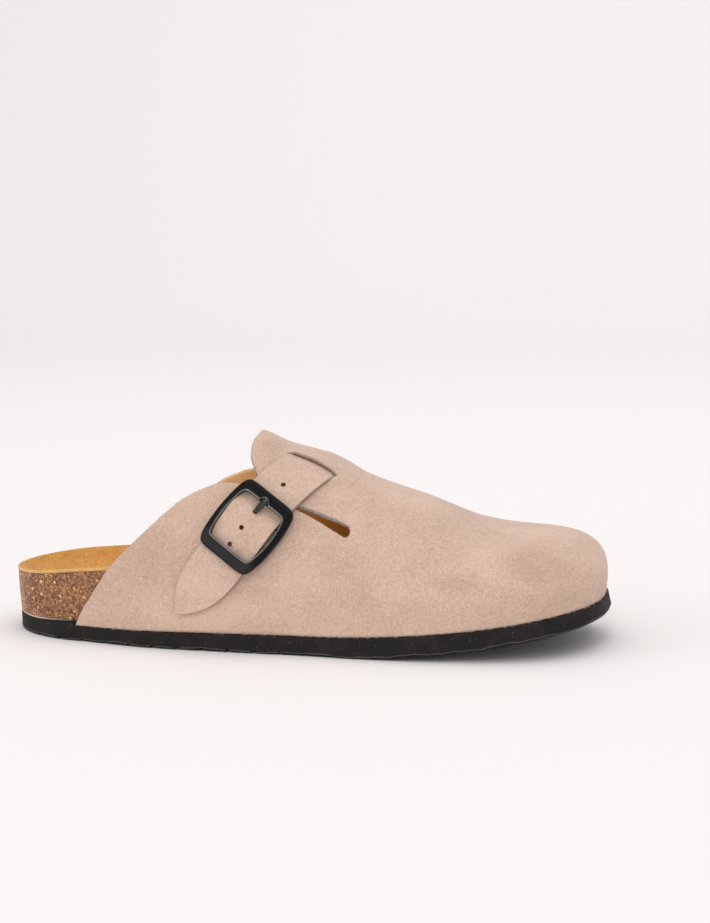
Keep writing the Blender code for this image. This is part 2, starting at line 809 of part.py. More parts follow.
def buckle_frame_axes():
    """Place of the buckle: its middle, and the directions across, along and out of it."""
    station, base = strap_centre(np.array([BUCKLE_GIRTH]))
    out = last_normal(station, np.array([BUCKLE_GIRTH]))[0]
    _, _, points, runs = strap_run()
    ends = [[np.interp(run, runs, points[:, k]) for k in range(3)] for run in (-BUCKLE_REACH, BUCKLE_REACH)]
    along = np.array(ends[1]) - np.array(ends[0])
    along = along - out * np.dot(out, along)
    along = along / np.linalg.norm(along)
    across = np.cross(along, out)
    return base[0] + out * BUCKLE_LIFT + across * BUCKLE_SHIFT, across, along, out


def buckle_matrix():
    """World matrix of the buckle: X across the strap, Y along it and Z out of the upper."""
    middle, across, along, out = buckle_frame_axes()
    place = to_world(middle)
    rows = [[across[k], along[k], out[k], place[k]] for k in range(3)]
    return Matrix(rows + [[0, 0, 0, 1]])


def squircle(half_x, half_y, power, count):
    """Closed rounded-rectangle loop with bowed sides."""
    turn = np.linspace(0, 2 * np.pi, count, endpoint=False) + np.pi / count
    c, s = np.cos(turn), np.sin(turn)
    size = (np.abs(c) ** power + np.abs(s) ** power) ** (-1 / power)
    return np.stack([half_x * c * size, half_y * s * size], -1)


def build_frame(collection):
    """Buckle frame: a bevelled ring with broad end bars, joined with its hinge bar."""
    outer = squircle(FRAME_HALF_WIDTH, FRAME_HALF_LENGTH, FRAME_POWER, FRAME_COUNT)
    inner = squircle(WINDOW_HALF_WIDTH, WINDOW_HALF_LENGTH, WINDOW_POWER, FRAME_COUNT)
    rings = []
    for step in FRAME_STEPS:
        loop = outer * (1 - step.share) + inner * step.share
        low = step.height < 1.0
        dip = FRAME_DIP * (1 - ramp(np.abs(loop[:, 1:]), *DIP_ENDS)) * low
        rings.append(np.concatenate([loop, step.height - dip], 1))
    rings = np.stack(rings, 1) * MM
    faces = grid_faces(FRAME_COUNT + 1, len(FRAME_STEPS), closed=True)
    faces = [tuple(v % (FRAME_COUNT * len(FRAME_STEPS)) for v in face) for face in faces]
    made = object_of("buckle_frame", mesh_of("buckle_frame", rings.reshape(-1, 3), faces), collection,
                     material_of("lacquered_metal", (0.012, 0.012, 0.013), 0.3, 0.4))
    made.matrix_world = buckle_matrix()
    return made


def cutter(name, radius, depth, matrix, collection, vertices):
    """Round tool for a hole or a bar."""
    mesh = bpy.data.meshes.new(name)
    work = bmesh.new()
    bmesh.ops.create_cone(work, cap_ends=True, segments=vertices, radius1=radius * MM,
                          radius2=radius * MM, depth=depth * MM)
    work.to_mesh(mesh)
    work.free()
    made = bpy.data.objects.new(name, mesh)
    collection.objects.link(made)
    made.matrix_world = matrix
    made.hide_render = True
    made.display_type = "WIRE"
    return made


def combine(target, tool, operation):
    """Boolean step on an object."""
    step = target.modifiers.new(tool.name, "BOOLEAN")
    step.operation = operation
    step.object = tool
    step.solver = "EXACT"


def add_bar(frame, cutters):
    """Hinge bar across the frame's window."""
    turn = Matrix.Rotation(np.pi / 2, 4, "Y")
    place = Matrix.Translation(Vector((0, BAR_PLACE * MM, BAR_HEIGHT * MM)))
    length = 2 * WINDOW_HALF_WIDTH + 1.4
    bar = cutter("hinge_bar", BAR_RADIUS, length, buckle_matrix() @ place @ turn, cutters, 12)
    combine(frame, bar, "UNION")


def build_strap(collection, cutters):
    """Strap: sewn on the medial quarter, under the flap, through the buckle, with five holes."""
    made = object_of("strap", loft_open("strap", strap_rings()), collection,
                     material_of("strap_suede", (0.43, 0.33, 0.26), 0.95))
    for k in range(HOLE_COUNT):
        run = np.array([BAR_PLACE + HOLE_AHEAD + HOLE_PITCH * (k - HOLE_COUNT // 2)])
        low = strap_point(run, np.zeros(1), 0.0)[0]
        high = strap_point(run, np.zeros(1), STRAP_THICK)[0]
        axis = Vector(high - low).normalized()
        turn = axis.to_track_quat("Z", "Y").to_matrix().to_4x4()
        place = Matrix.Translation(Vector(to_world(0.5 * (low + high))))
        combine(made, cutter(f"hole_{k}", HOLE_RADIUS, 5.0, place @ turn, cutters, 12), "DIFFERENCE")
    return made


def loft_open(name, rings):
    """Closed mesh through rings of points with a flat face on both ends."""
    rows, columns = rings.shape[:2]
    faces = grid_faces(rows, columns, closed=True)
    faces.append(tuple(range(columns)))
    faces.append(tuple(range((rows - 1) * columns, rows * columns)))
    return mesh_of(name, to_world(rings.reshape(-1, 3)), faces)


def prong_path():
    """Middle line of the prong in the buckle's own frame: hook, rise and tip over the end bar."""
    hook = BAR_RADIUS + PRONG_CLEAR + PRONG_RADIUS
    turn = np.radians(np.linspace(170, 370, 9))
    arc = np.stack([BAR_PLACE + hook * np.cos(turn), BAR_HEIGHT + hook * np.sin(turn)], -1)
    return np.concatenate([arc, np.array(PRONG_RISE)])


def build_prong(collection):
    """Buckle prong: a flat rod bent round the hinge bar, resting on the upper end bar."""
    path = prong_path()
    along = unit(np.gradient(path, axis=0))
    turn = np.linspace(0, 2 * np.pi, 10, endpoint=False)
    wide = PRONG_HALF_WIDTH * np.cos(turn)[None, :] * np.ones((len(path), 1))
    thick = PRONG_RADIUS * np.sin(turn)[None, :]
    y = path[:, :1] - along[:, 1:] * thick
    z = path[:, 1:] + along[:, :1] * thick
    rings = np.stack([wide, y, z], -1) * MM
    faces = grid_faces(len(path), len(turn), closed=True)
    faces.append(tuple(range(len(turn))))
    faces.append(tuple(range((len(path) - 1) * len(turn), len(path) * len(turn))))
    mesh = mesh_of("buckle_prong", rings.reshape(-1, 3), faces)
    made = object_of("buckle_prong", mesh, collection,
                     material_of("prong_metal", (0.012, 0.012, 0.013), 0.3, 0.4))
    made.matrix_world = buckle_matrix()
    return made


def main():
    """Clear the scene and build the clog."""
    for old in list(bpy.data.objects):
        bpy.data.objects.remove(old, do_unlink=True)
    clog = collection_of("clog")
    cutters = collection_of("cutters")
    build_outsole(clog)
    build_cork(clog)
    build_insole(clog)
    build_upper(clog)
    build_strap(clog, cutters)
    add_bar(build_frame(clog), cutters)
    build_prong(clog)


if __name__ == "__main__":
    main()
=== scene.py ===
"""Looks of a right-foot clog: suede upper, cork footbed, black foam sole and one buckled strap.

Every piece is a surface worked out over the clog's last, in the sizes of its solids. Sizes are
millimetres in the last's own frame. A station is the distance from the heel's back along +X, the
lateral side is -Y, the medial side is +Y and the floor is Z = 0. A girth runs over the last from
-1 at the lateral edge of the sole, over 0 at the ridge, to +1 at the medial edge.
"""
import logging
from dataclasses import dataclass, field
from enum import Enum
from typing import Any, Callable, Optional, Sequence, Union

import bmesh
import bpy
import numpy as np
from mathutils import Matrix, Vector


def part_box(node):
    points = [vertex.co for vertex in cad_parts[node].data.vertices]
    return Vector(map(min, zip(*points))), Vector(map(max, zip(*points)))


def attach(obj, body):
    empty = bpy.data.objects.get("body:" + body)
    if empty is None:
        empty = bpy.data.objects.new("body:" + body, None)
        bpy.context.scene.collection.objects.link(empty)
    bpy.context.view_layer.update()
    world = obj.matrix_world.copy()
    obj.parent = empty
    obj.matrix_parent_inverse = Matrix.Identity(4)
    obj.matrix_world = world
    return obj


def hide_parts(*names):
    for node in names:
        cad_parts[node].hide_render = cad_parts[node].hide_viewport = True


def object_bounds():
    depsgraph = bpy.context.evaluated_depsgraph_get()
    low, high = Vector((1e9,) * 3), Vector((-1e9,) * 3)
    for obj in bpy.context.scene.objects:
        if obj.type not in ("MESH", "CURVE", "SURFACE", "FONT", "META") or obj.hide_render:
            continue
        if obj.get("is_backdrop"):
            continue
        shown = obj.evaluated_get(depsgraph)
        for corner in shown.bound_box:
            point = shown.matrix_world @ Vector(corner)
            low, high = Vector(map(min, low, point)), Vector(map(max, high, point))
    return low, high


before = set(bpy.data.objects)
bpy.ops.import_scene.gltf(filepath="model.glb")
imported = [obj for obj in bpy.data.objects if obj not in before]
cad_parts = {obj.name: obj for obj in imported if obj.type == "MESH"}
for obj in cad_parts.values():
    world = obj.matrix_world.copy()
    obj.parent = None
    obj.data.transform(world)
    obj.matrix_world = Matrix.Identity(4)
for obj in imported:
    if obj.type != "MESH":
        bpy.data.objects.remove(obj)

CAD_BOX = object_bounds()
BODY = "root"
MM = 0.001
WELD_MM = 0.0004

Array = np.ndarray
Pair = tuple[float, float]
Triple = tuple[float, float, float]
Colour = Triple
Piece = bpy.types.Object
Socket = bpy.types.NodeSocket
Material = bpy.types.Material
LOG = logging.getLogger("clog")


class Node(Enum):
    """Solids that the pieces stand for."""

    OUTSOLE = "outsole"
    CORK = "cork_footbed"
    INSOLE = "insole"
    UPPER = "upper"
    STRAP = "strap"
    FRAME = "buckle_frame"
    PRONG = "buckle_prong"


class Slot(Enum):
    """Material slots of the record."""

    SOLE = "sole_rubber"
    CORK = "cork"
    LINING = "lining_suede"
    UPPER = "upper_suede"
    STRAP = "strap_suede"
    FRAME = "buckle_lacquer"
    PRONG = "prong_lacquer"


class Side(Enum):
    """Sides of the clog, as the sign of Y."""

    LATERAL = -1.0
    MEDIAL = 1.0


class Axis(Enum):
    """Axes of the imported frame, as the number of a vector's part."""

    ALONG = 0
    UP = 2


class Skin(Enum):
    """Faces of a sheet with thickness, as the number of its material."""

    OUTER = 0
    INNER = 1
    CUT = 2


# Plain helpers for numbers


def ramp(at: Array, start: float, end: float) -> Array:
    """Smooth step: 0 before `start`, 1 after `end`, with level ends between.

    Args:
        at: Places where the step is read.
        start: Place where it leaves 0.
        end: Place where it reaches 1.

    Returns:
        The step's height at each place.
    """
    t = np.clip((at - start) / (end - start), 0, 1)
    return t * t * (3 - 2 * t)


def unit(vectors: Array) -> Array:
    """Vectors brought to length 1."""
    return vectors / np.maximum(np.linalg.norm(vectors, axis=-1, keepdims=True), 1e-12)


def dense_ends(count: int) -> Array:
    """Numbers from -1 to 1 that lie closer together toward both ends: a half turn of a cosine."""
    return -np.cos(np.linspace(0, np.pi, count))


def scatter(places: Array, seed: int) -> Array:
    """Random number from 0 to 1 for each whole-number place, by mixing the bits of its parts.

    Args:
        places: Whole numbers, three to a place.
        seed: Number that picks one of many such fields.

    Returns:
        One number for each place, the same on every run.
    """
    n = places.astype(np.int64)
    mixed = n[..., 0] * 374761393 + n[..., 1] * 668265263 + n[..., 2] * 1442695041 + seed * 97531
    mixed = (mixed ^ (mixed >> 13)) * 1274126177
    mixed = mixed ^ (mixed >> 16)
    return (mixed & 0xFFFFFF) / float(0xFFFFFF)


def grain(points: Array, size: float, seed: int) -> Array:
    """Smooth random field from -1 to 1: scattered numbers on a lattice, eased between its corners.

    Args:
        points: Places in millimetres.
        size: Width of a lattice cell in millimetres.
        seed: Number that picks the field.

    Returns:
        The field's value at each place.
    """
    place = np.asarray(points, float) / size
    cell = np.floor(place)
    t = place - cell
    t = t * t * (3 - 2 * t)
    total = np.zeros(place.shape[:-1])
    for corner in np.ndindex(2, 2, 2):
        share = np.prod(np.where(np.array(corner) == 1, t, 1 - t), axis=-1)
        total = total + share * scatter(cell + np.array(corner), seed)
    return 2 * total - 1


@dataclass(frozen=True)
class Table:
    """Short table with named columns; the first column holds the places of its rows."""

    columns: tuple[str, ...]
    rows: tuple[tuple[float, ...], ...]

    def read(self, column: str, at: Array) -> Array:
        """Smooth curve through one column: cubic pieces whose slopes are means of their neighbours'.

        Args:
            column: Name of the column.
            at: Places where the curve is read; it stays level outside the table.

        Returns:
            The curve's height at each place.
        """
        values = np.array(self.rows, float)
        knots, heights = values[:, 0], values[:, self.columns.index(column)]
        steps = np.diff(knots)
        slopes = np.diff(heights) / steps
        inner = (slopes[:-1] * steps[1:] + slopes[1:] * steps[:-1]) / (steps[1:] + steps[:-1])
        tangents = np.concatenate([slopes[:1], inner, slopes[-1:]])
        at = np.clip(at, knots[0], knots[-1])
        i = np.clip(np.searchsorted(knots, at) - 1, 0, len(steps) - 1)
        t = (at - knots[i]) / steps[i]
        ends = heights[i] * (1 + 2 * t) * (1 - t) ** 2 + heights[i + 1] * t * t * (3 - 2 * t)
        leans = tangents[i] * t * (1 - t) ** 2 - tangents[i + 1] * t * t * (1 - t)
        return ends + steps[i] * leans


# The last


@dataclass
class Last:
    """Shape that the clog is built over: outline of the sole, ridge of the instep and sections."""

    length: float = 278.0
    sole_thick: float = 8.9
    rocker_start: float = 171.5
    rocker_power: float = 1.45
    feather_start: float = 150.0
    feather_power: float = 1.75
    toe_spring: float = 14.9
    gap: float = 0.3
    heel_round: float = 35.0
    toe_round: float = 216.0
    toe_power: float = 2.38
    swing_start: float = 167.0
    toe_swing: float = 4.9
    feather_inset: float = 0.6
    fan_start: float = 242.3
    fan_heel: float = 30.0
    fan_soft: float = 10.0
    outline: Table = Table(
        ("station", "lateral", "medial"),
        (
            (0, 28.7, 31.0), (33, 32.5, 34.0), (70, 40.6, 33.5), (111, 43.5, 32.5),
            (145, 44.7, 37.5), (172, 46.8, 45.5), (197, 47.9, 50.0), (222, 46.4, 51.5),
            (250, 45.3, 52.0), (278, 45.0, 52.0),
        ),
    )
    form: Table = Table(
        ("station", "ridge", "offset", "rise", "reach", "flare"),
        (
            (0, 96.0, 2.0, 46.0, 22.0, 8.2),
            (40, 98.0, 2.0, 50.0, 22.0, 4.0),
            (90, 98.0, 3.0, 51.0, 22.0, 2.5),
            (121, 93.8, 3.0, 49.0, 22.0, 2.0),
            (135, 86.7, 3.5, 45.0, 23.0, 1.5),
            (150, 81.8, 4.0, 40.5, 24.0, 1.5),
            (174, 72.1, 4.5, 36.0, 26.0, 2.0),
            (195, 65.1, 5.0, 32.0, 27.0, 2.0),
            (219, 55.4, 6.0, 27.0, 28.0, 3.0),
            (241, 51.3, 6.5, 23.4, 33.8, 5.0),
            (278, 59.2, 6.5, 25.5, 20.0, 4.5),
        ),
    )
    shift: Array = field(default_factory=lambda: np.zeros(3))

    def __post_init__(self) -> None:
        """Take the place of the last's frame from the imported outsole's box."""
        low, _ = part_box(Node.OUTSOLE.value)
        stations = np.linspace(0, self.length, 2001)
        edge = self.edge(stations, Side.LATERAL.value).min()
        self.shift = np.array([low.x / MM, low.y / MM - edge, 0.0])

    def world(self, points: Array) -> Array:
        """Points of the last's frame in metres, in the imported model's frame."""
        return (np.asarray(points) + self.shift) * MM

    def spring(self, station: Array, start: float, power: float) -> Array:
        """Rise toward the toe: a power of the way from `start` to the tip."""
        part = np.clip((station - start) / (self.length - start), 0, 2)
        return self.toe_spring * part**power

    def rocker(self, station: Array) -> Array:
        """Height of the sole's underside."""
        return self.spring(station, self.rocker_start, self.rocker_power)

    def sole_top(self, station: Array) -> Array:
        """Height of the outsole's top face."""
        return self.spring(station, self.feather_start, self.feather_power) + self.sole_thick

    def heel_near(self, station: Array) -> Array:
        """Nearness to the heel's back: 0 in front of the heel's round, 1 at its back."""
        return np.clip((self.heel_round - station) / self.heel_round, 0, 1)

    def toe_near(self, station: Array) -> Array:
        """Nearness to the tip of the toe: 0 behind the toe's round, 1 at the tip."""
        return np.clip((station - self.toe_round) / (self.length - self.toe_round), 0, 1)

    def half_width(self, station: Array, side: Array) -> Array:
        """Half width of the sole before its ends are rounded off."""
        lateral = self.outline.read("lateral", station)
        return np.where(np.asarray(side) < 0, lateral, self.outline.read("medial", station))

    def swing(self, station: Array) -> Array:
        """Sideways swing of the toe toward the big toe: a square of the way to the tip."""
        part = (station - self.swing_start) / (self.length - self.swing_start)
        return self.toe_swing * np.clip(part, 0, 1) ** 2

    def edge(self, station: Array, side: Array) -> Array:
        """Y of the sole's edge: half width times an ellipse at the heel and a squarer one at the toe.

        Args:
            station: Stations.
            side: -1 or 1 for each of them.

        Returns:
            The Y at each station.
        """
        heel = np.sqrt(1 - self.heel_near(station) ** 2)
        toe = (1 - self.toe_near(station) ** self.toe_power) ** (1 / self.toe_power)
        middle = self.swing(station)
        return middle + (side * self.half_width(station, side) - middle) * heel * toe

    def outward(self, station: Array, side: Array) -> Array:
        """Plan direction square to the sole's edge, from two near places on it.

        Args:
            station: Stations.
            side: -1 or 1 for each of them.

        Returns:
            Directions of length 1 in X and Y.
        """
        turn = np.arccos(np.clip(1 - 2 * station / self.length, -1, 1))
        before = self.length * (1 - np.cos(np.clip(turn - 0.001, 0, np.pi))) / 2
        after = self.length * (1 - np.cos(np.clip(turn + 0.001, 0, np.pi))) / 2
        across = self.edge(after, side) - self.edge(before, side)
        out = unit(np.stack([-side * across, side * (after - before)], -1))
        end = np.sign(np.where(station <= 0, -1.0, np.where(station >= self.length, 1.0, 0.0)))
        return np.where(end[..., None] != 0, np.stack([end, 0 * end], -1), out)

    def edge_point(self, station: Array, side: Array, inset: Array, height: Array) -> Array:
        """Point at the sole's edge, moved in square to it and set at a height.

        Args:
            station: Stations.
            side: -1 or 1 for each of them.
            inset: Distance that it is moved in.
            height: Its height.

        Returns:
            The points.
        """
        out = self.outward(station, side)
        x = station - out[..., 0] * inset
        y = self.edge(station, side) - out[..., 1] * inset
        return np.stack([x, y, np.broadcast_to(height, x.shape)], -1)

    def section(self, station: Array, side: Array) -> tuple[Array, Array, Array, Array]:
        """Four handles of the section at a station: edge, wall, crown and ridge.

        The ridge's station stops short of both ends, so the sections fan out round heel and toe.

        Args:
            station: Stations of the sections.
            side: -1 or 1 for each of them.

        Returns:
            The handles of a cubic curve from the sole's edge to the ridge.
        """
        foot = self.edge_point(station, side, self.feather_inset, self.sole_top(station) + self.gap)
        out = self.outward(station, side)
        past = np.logaddexp(0, (station - self.fan_start) / self.fan_soft)
        short = np.logaddexp(0, (self.fan_heel - station) / self.fan_soft)
        spine = station + self.fan_soft * (short - past)
        slope = self.form.read("ridge", spine + 0.5) - self.form.read("ridge", spine - 0.5)
        ridge = np.stack([spine, self.form.read("offset", spine), self.form.read("ridge", spine)], -1)
        flare = self.form.read("flare", station)[..., None] * out
        wall = foot + np.concatenate([flare, self.form.read("rise", station)[..., None]], -1)
        toward = unit(foot[..., :2] - ridge[..., :2])
        lean = np.stack([toward[..., 0], toward[..., 1], slope * toward[..., 0]], -1)
        return foot, wall, ridge + lean * self.form.read("reach", station)[..., None], ridge

    @staticmethod
    def blend(handles: tuple[Array, Array, Array, Array], t: Array) -> Array:
        """Cubic curve: the mean of four handles, weighted by powers of the way along it.

        Args:
            handles: The handles of each curve.
            t: Way along it, from 0 to 1.

        Returns:
            The points.
        """
        t = np.asarray(t)[..., None]
        ends = handles[0] * (1 - t) ** 3 + handles[3] * t**3
        return ends + 3 * t * (1 - t) * (handles[1] * (1 - t) + handles[2] * t)

    def point(self, station: Array, girth: Array) -> Array:
        """Point on the last, which is the outer face of the upper where it lies smooth.

        Args:
            station: Stations.
            girth: Girths.

        Returns:
            The points.
        """
        station, girth = np.broadcast_arrays(np.asarray(station, float), np.asarray(girth, float))
        side = np.where(girth < 0, -1.0, 1.0)
        return self.blend(self.section(station, side), 1 - np.abs(girth))

    def normal(self, station: Array, girth: Array) -> Array:
        """Direction out of the last; at the tip, where both sides meet, the mean of theirs.

        Args:
            station: Stations.
            girth: Girths.

        Returns:
            Directions of length 1.
        """
        station, girth = np.broadcast_arrays(np.asarray(station, float), np.asarray(girth, float))
        here, there = self.lean(station, girth), self.lean(station, -girth)
        return np.where((station >= self.length)[..., None], unit(here + there), here)

    def lean(self, station: Array, girth: Array) -> Array:
        """Direction square to the last's two surface directions, from near points.

        Args:
            station: Stations.
            girth: Girths, as many as stations.

        Returns:
            Directions of length 1.
        """
        low, high = np.clip(girth - 0.001, -1, 1), np.clip(girth + 0.001, -1, 1)
        back, front = np.clip(station - 0.05, 0, self.length), np.clip(station + 0.05, 0, self.length)
        along = self.point(front, girth) - self.point(back, girth)
        around = self.point(station, high) - self.point(station, low)
        return unit(np.cross(along, around))

    def wall_point(self, station: Array, side: Array, height: Array, inset: Array) -> Array:
        """Point of the last's wall at a height, found by Newton steps and moved in.

        Args:
            station: Stations.
            side: -1 or 1 for each of them.
            height: Height of the point.
            inset: Distance that it is moved in.

        Returns:
            The points.
        """
        handles = self.section(station, side)
        t = np.zeros_like(station)
        for _ in range(12):
            z = self.blend(handles, t)[..., 2]
            dz = (self.blend(handles, t + 0.001)[..., 2] - z) / 0.001
            t = t + (height - z) / dz
        point = self.blend(handles, t)
        point[..., :2] -= self.outward(station, side) * np.asarray(inset)[..., None]
        return point

    def heel_stations(self, count: int) -> Array:
        """Stations round the heel, closer together toward its back."""
        return self.heel_round * (1 - np.cos(np.linspace(0, np.pi / 2, count)))

    def toe_stations(self, count: int) -> Array:
        """Stations round the toe, closer together toward its tip."""
        span = self.length - self.toe_round
        return self.toe_round + span * np.sin(np.linspace(0, np.pi / 2, count))


# Meshes


def grid_quads(rows: int, columns: int, closed: bool = False) -> Array:
    """Corner numbers of a grid's quads, rows first.

    Args:
        rows: Rows of the grid.
        columns: Points in a row.
        closed: Whether the last column joins the first.

    Returns:
        Four numbers for each quad.
    """
    i = np.arange(rows - 1)[:, None]
    j = np.arange(columns if closed else columns - 1)[None, :]
    k = (j + 1) % columns
    corners = (i * columns + j, i * columns + k, (i + 1) * columns + k, (i + 1) * columns + j)
    return np.stack(corners, -1).reshape(-1, 4)


def mesh_object(name: str, points: Array, faces: Sequence[Sequence[int]],
                skins: Optional[Array] = None) -> Piece:
    """Smooth mesh with doubled points joined and its faces turned out.

    Args:
        name: Name of the piece.
        points: Points in metres.
        faces: Corner numbers of each face.
        skins: Material number of each face, if there is more than one.

    Returns:
        The object, at the origin, in the scene.
    """
    mesh = bpy.data.meshes.new(name)
    mesh.from_pydata(points.tolist(), [], [list(face) for face in faces])
    if skins is not None:
        mesh.polygons.foreach_set("material_index", skins.astype(np.int32))
    work = bmesh.new()
    work.from_mesh(mesh)
    bmesh.ops.remove_doubles(work, verts=work.verts, dist=WELD_MM * MM)
    bmesh.ops.dissolve_degenerate(work, edges=work.edges, dist=0.1 * WELD_MM * MM)
    bmesh.ops.recalc_face_normals(work, faces=work.faces)
    work.to_mesh(mesh)
    work.free()
    mesh.shade_smooth()
    made = bpy.data.objects.new(name, mesh)
    bpy.context.scene.collection.objects.link(made)
    return made


def loft(name: str, rings: Array, caps: bool = False, bands: Optional[Array] = None) -> Piece:
    """Closed mesh through rings of points, which end in a line or, with caps, in flat faces.

    Args:
        name: Name of the piece.
        rings: Rings of points in metres, ring first.
        caps: Whether the first and last ring get a face.
        bands: Material number of the faces after each point of a ring, if there is more than one.

    Returns:
        The object.
    """
    rows, columns = rings.shape[:2]
    faces = grid_quads(rows, columns, closed=True).tolist()
    skins = None if bands is None else np.tile(bands, rows - 1)
    if caps:
        faces.append(list(range(columns)))
        faces.append(list(range((rows - 1) * columns, rows * columns)))
    return mesh_object(name, rings.reshape(-1, 3), faces, skins)


def soften(loop: Array, share: float) -> Array:
    """Closed loop with its corners cut at a share of the way along both sides of each.

    Args:
        loop: Points of the loop.
        share: Share of each side that is cut off.

    Returns:
        Twice as many points.
    """
    after = np.roll(loop, -1, axis=0)
    pairs = np.stack([(1 - share) * loop + share * after, share * loop + (1 - share) * after], 1)
    return pairs.reshape(-1, loop.shape[1])


@dataclass
class Sheet:
    """Open surface with an outer and an inner face, which a rounded cut edge joins to a solid."""

    outer: Array
    inner: Array
    quads: Array
    bulge: float = 0.35
    fray: float = 0.0
    fray_size: float = 0.7
    lined_past: float = 8.0
    foot_height: float = 26.0
    foot_raise: float = 0.3
    root_share: float = 0.8
    fibre_radius: float = 0.11
    steps: int = 4

    @classmethod
    def join(cls, grids: Sequence[tuple[Array, Array]], **sizes: float) -> "Sheet":
        """One sheet of several grids, turned to face out and welded where their outer points coincide.

        Args:
            grids: Outer and inner points of each grid.
            sizes: Sizes of the cut edge.

        Returns:
            The sheet.
        """
        quads, start = [], 0
        for outer, inner in grids:
            corner = outer[:-1, :-1]
            face = np.cross(outer[:-1, 1:] - corner, outer[1:, :-1] - corner)
            order = 1 if np.sum(face * (outer - inner)[:-1, :-1]) > 0 else -1
            quads.append(grid_quads(*outer.shape[:2])[:, ::order] + start)
            start += outer.shape[0] * outer.shape[1]
        outer = np.concatenate([grid[0].reshape(-1, 3) for grid in grids])
        inner = np.concatenate([grid[1].reshape(-1, 3) for grid in grids])
        _, first, number = np.unique(np.round(outer, 3), axis=0, return_index=True, return_inverse=True)
        return cls(outer[first], inner[first], number.reshape(-1)[np.concatenate(quads)], **sizes)

    def border(self) -> Array:
        """Edges that only one face uses, in that face's order.

        Returns:
            Two point numbers for each edge.
        """
        edges = np.concatenate([self.quads[:, [k, (k + 1) % 4]] for k in range(4)])
        edges = edges[edges[:, 0] != edges[:, 1]]
        key = np.sort(edges, axis=1)
        _, number, count = np.unique(key, axis=0, return_inverse=True, return_counts=True)
        return edges[count[number.reshape(-1)] == 1]

    def away(self, edges: Array) -> Array:
        """Direction out of the sheet at each border edge: square to the edge and to the thickness."""
        along = unit(self.outer[edges[:, 1]] - self.outer[edges[:, 0]])
        return np.cross(along, unit((self.outer - self.inner)[edges[:, 0]]))

    def fibres(self, name: str, last: Last, per_mm: float, length: float) -> Piece:
        """Thin three-sided fibres that stand out of the cut edge, longest where chance says so.

        Those of the edge that stands on the sole slant outward over it.

        Args:
            name: Name of the piece.
            last: Last whose frame the points are in.
            per_mm: Fibres for each millimetre of border.
            length: Length of the longest fibre.

        Returns:
            The object.
        """
        edges = self.border()
        sizes = np.linalg.norm(self.outer[edges[:, 1]] - self.outer[edges[:, 0]], axis=1)
        count = int(sizes.sum() * per_mm)
        number = np.arange(count)
        chance = [scatter(np.stack([number, 0 * number + k, 0 * number], -1), 61) for k in range(6)]
        reach = np.cumsum(sizes)
        pick = np.clip(np.searchsorted(reach, chance[0] * reach[-1]), 0, len(edges) - 1)
        a, b = edges[pick, 0], edges[pick, 1]
        t = chance[1][:, None]
        outer = self.outer[a] * (1 - t) + self.outer[b] * t
        inner = self.inner[a] * (1 - t) + self.inner[b] * t
        out, along = self.away(edges)[pick], unit(self.outer[b] - self.outer[a])
        normal = unit(outer - inner)
        # Roots spread over the bulging edge; on the sole they start at its outer corner
        foot = np.clip(-out[:, 2:], 0, 1) * (outer[:, 2:] < self.foot_height)
        depth = (0.08 + 0.84 * chance[2][:, None]) * (1 - foot)
        bulge = self.root_share * self.bulge * np.sqrt(4 * depth * (1 - depth))
        root = outer * (1 - depth) + inner * depth + out * (bulge - self.foot_raise * foot)
        # Each points out of the sheet, turned aside by chance
        tilt = 1.2 * chance[4][:, None] - 0.6 + 0.9 * foot
        way = unit(out * (1 - 0.2 * foot) + along * (1.6 * chance[3][:, None] - 0.8) + normal * tilt)
        # Lengths go by the square of chance and, on the sole, by clumps too
        clump = grain(root, 1.3, 71)[:, None]
        tall = length * (0.25 + 0.75 * chance[5][:, None] ** 2 + foot * (0.25 + 1.05 * clump))
        tall = np.maximum(tall, 0.2 * length)
        # Three corners round the root and the tip make one fibre
        side = unit(np.cross(way, normal + 0.3 * along))
        other = np.cross(way, side)
        turns = np.radians([0.0, 120.0, 240.0])
        corners = [root + self.fibre_radius * (np.cos(k) * side + np.sin(k) * other) for k in turns]
        points = np.stack(corners + [root + way * tall], 1).reshape(-1, 3)
        faces = np.array([[0, 1, 3], [1, 2, 3], [2, 0, 3], [2, 1, 0]])
        faces = (faces[None] + 4 * number[:, None, None]).reshape(-1, 3)
        return mesh_object(name, last.world(points), faces.tolist())

    def solid(self, name: str, last: Last) -> Piece:
        """Close the sheet: outer face, inner face and a cut edge that bulges like half an ellipse.

        On the medial side the lining covers the inner half of the cut edge.

        Args:
            name: Name of the piece.
            last: Last whose frame the points are in.

        Returns:
            The object, with its faces numbered by skin.
        """
        edges = self.border()
        marks, number = np.unique(edges, return_inverse=True)
        number = number.reshape(edges.shape)
        away = np.zeros((len(marks), 3))
        for end in range(2):
            np.add.at(away, number[:, end], self.away(edges))
        away = unit(away)
        ragged = self.fray * grain(self.outer[marks], self.fray_size, 5)
        shares = np.linspace(0, 1, self.steps + 1)[1:-1]
        rim = []
        for share in shares:
            reach = self.bulge * np.sqrt(4 * share * (1 - share)) + ragged
            middle = self.outer[marks] * (1 - share) + self.inner[marks] * share
            rim.append(middle + away * reach[:, None])
        count = len(self.outer)
        points = np.concatenate([self.outer, self.inner, *rim])
        levels = [marks] + [2 * count + k * len(marks) + np.arange(len(marks)) for k in range(len(rim))]
        levels.append(marks + count)
        bands = []
        for upper, lower in zip(levels, levels[1:]):
            a, b = number[:, 0], number[:, 1]
            bands.append(np.stack([upper[b], upper[a], lower[a], lower[b]], 1))
        cut = np.full((len(bands), len(edges)), Skin.CUT.value)
        cut[len(bands) // 2:, self.outer[edges[:, 0], 1] > self.lined_past] = Skin.INNER.value
        bands = np.concatenate(bands)
        faces = np.concatenate([self.quads, self.quads[:, ::-1] + count, bands])
        skins = np.repeat([Skin.OUTER.value, Skin.INNER.value], len(self.quads))
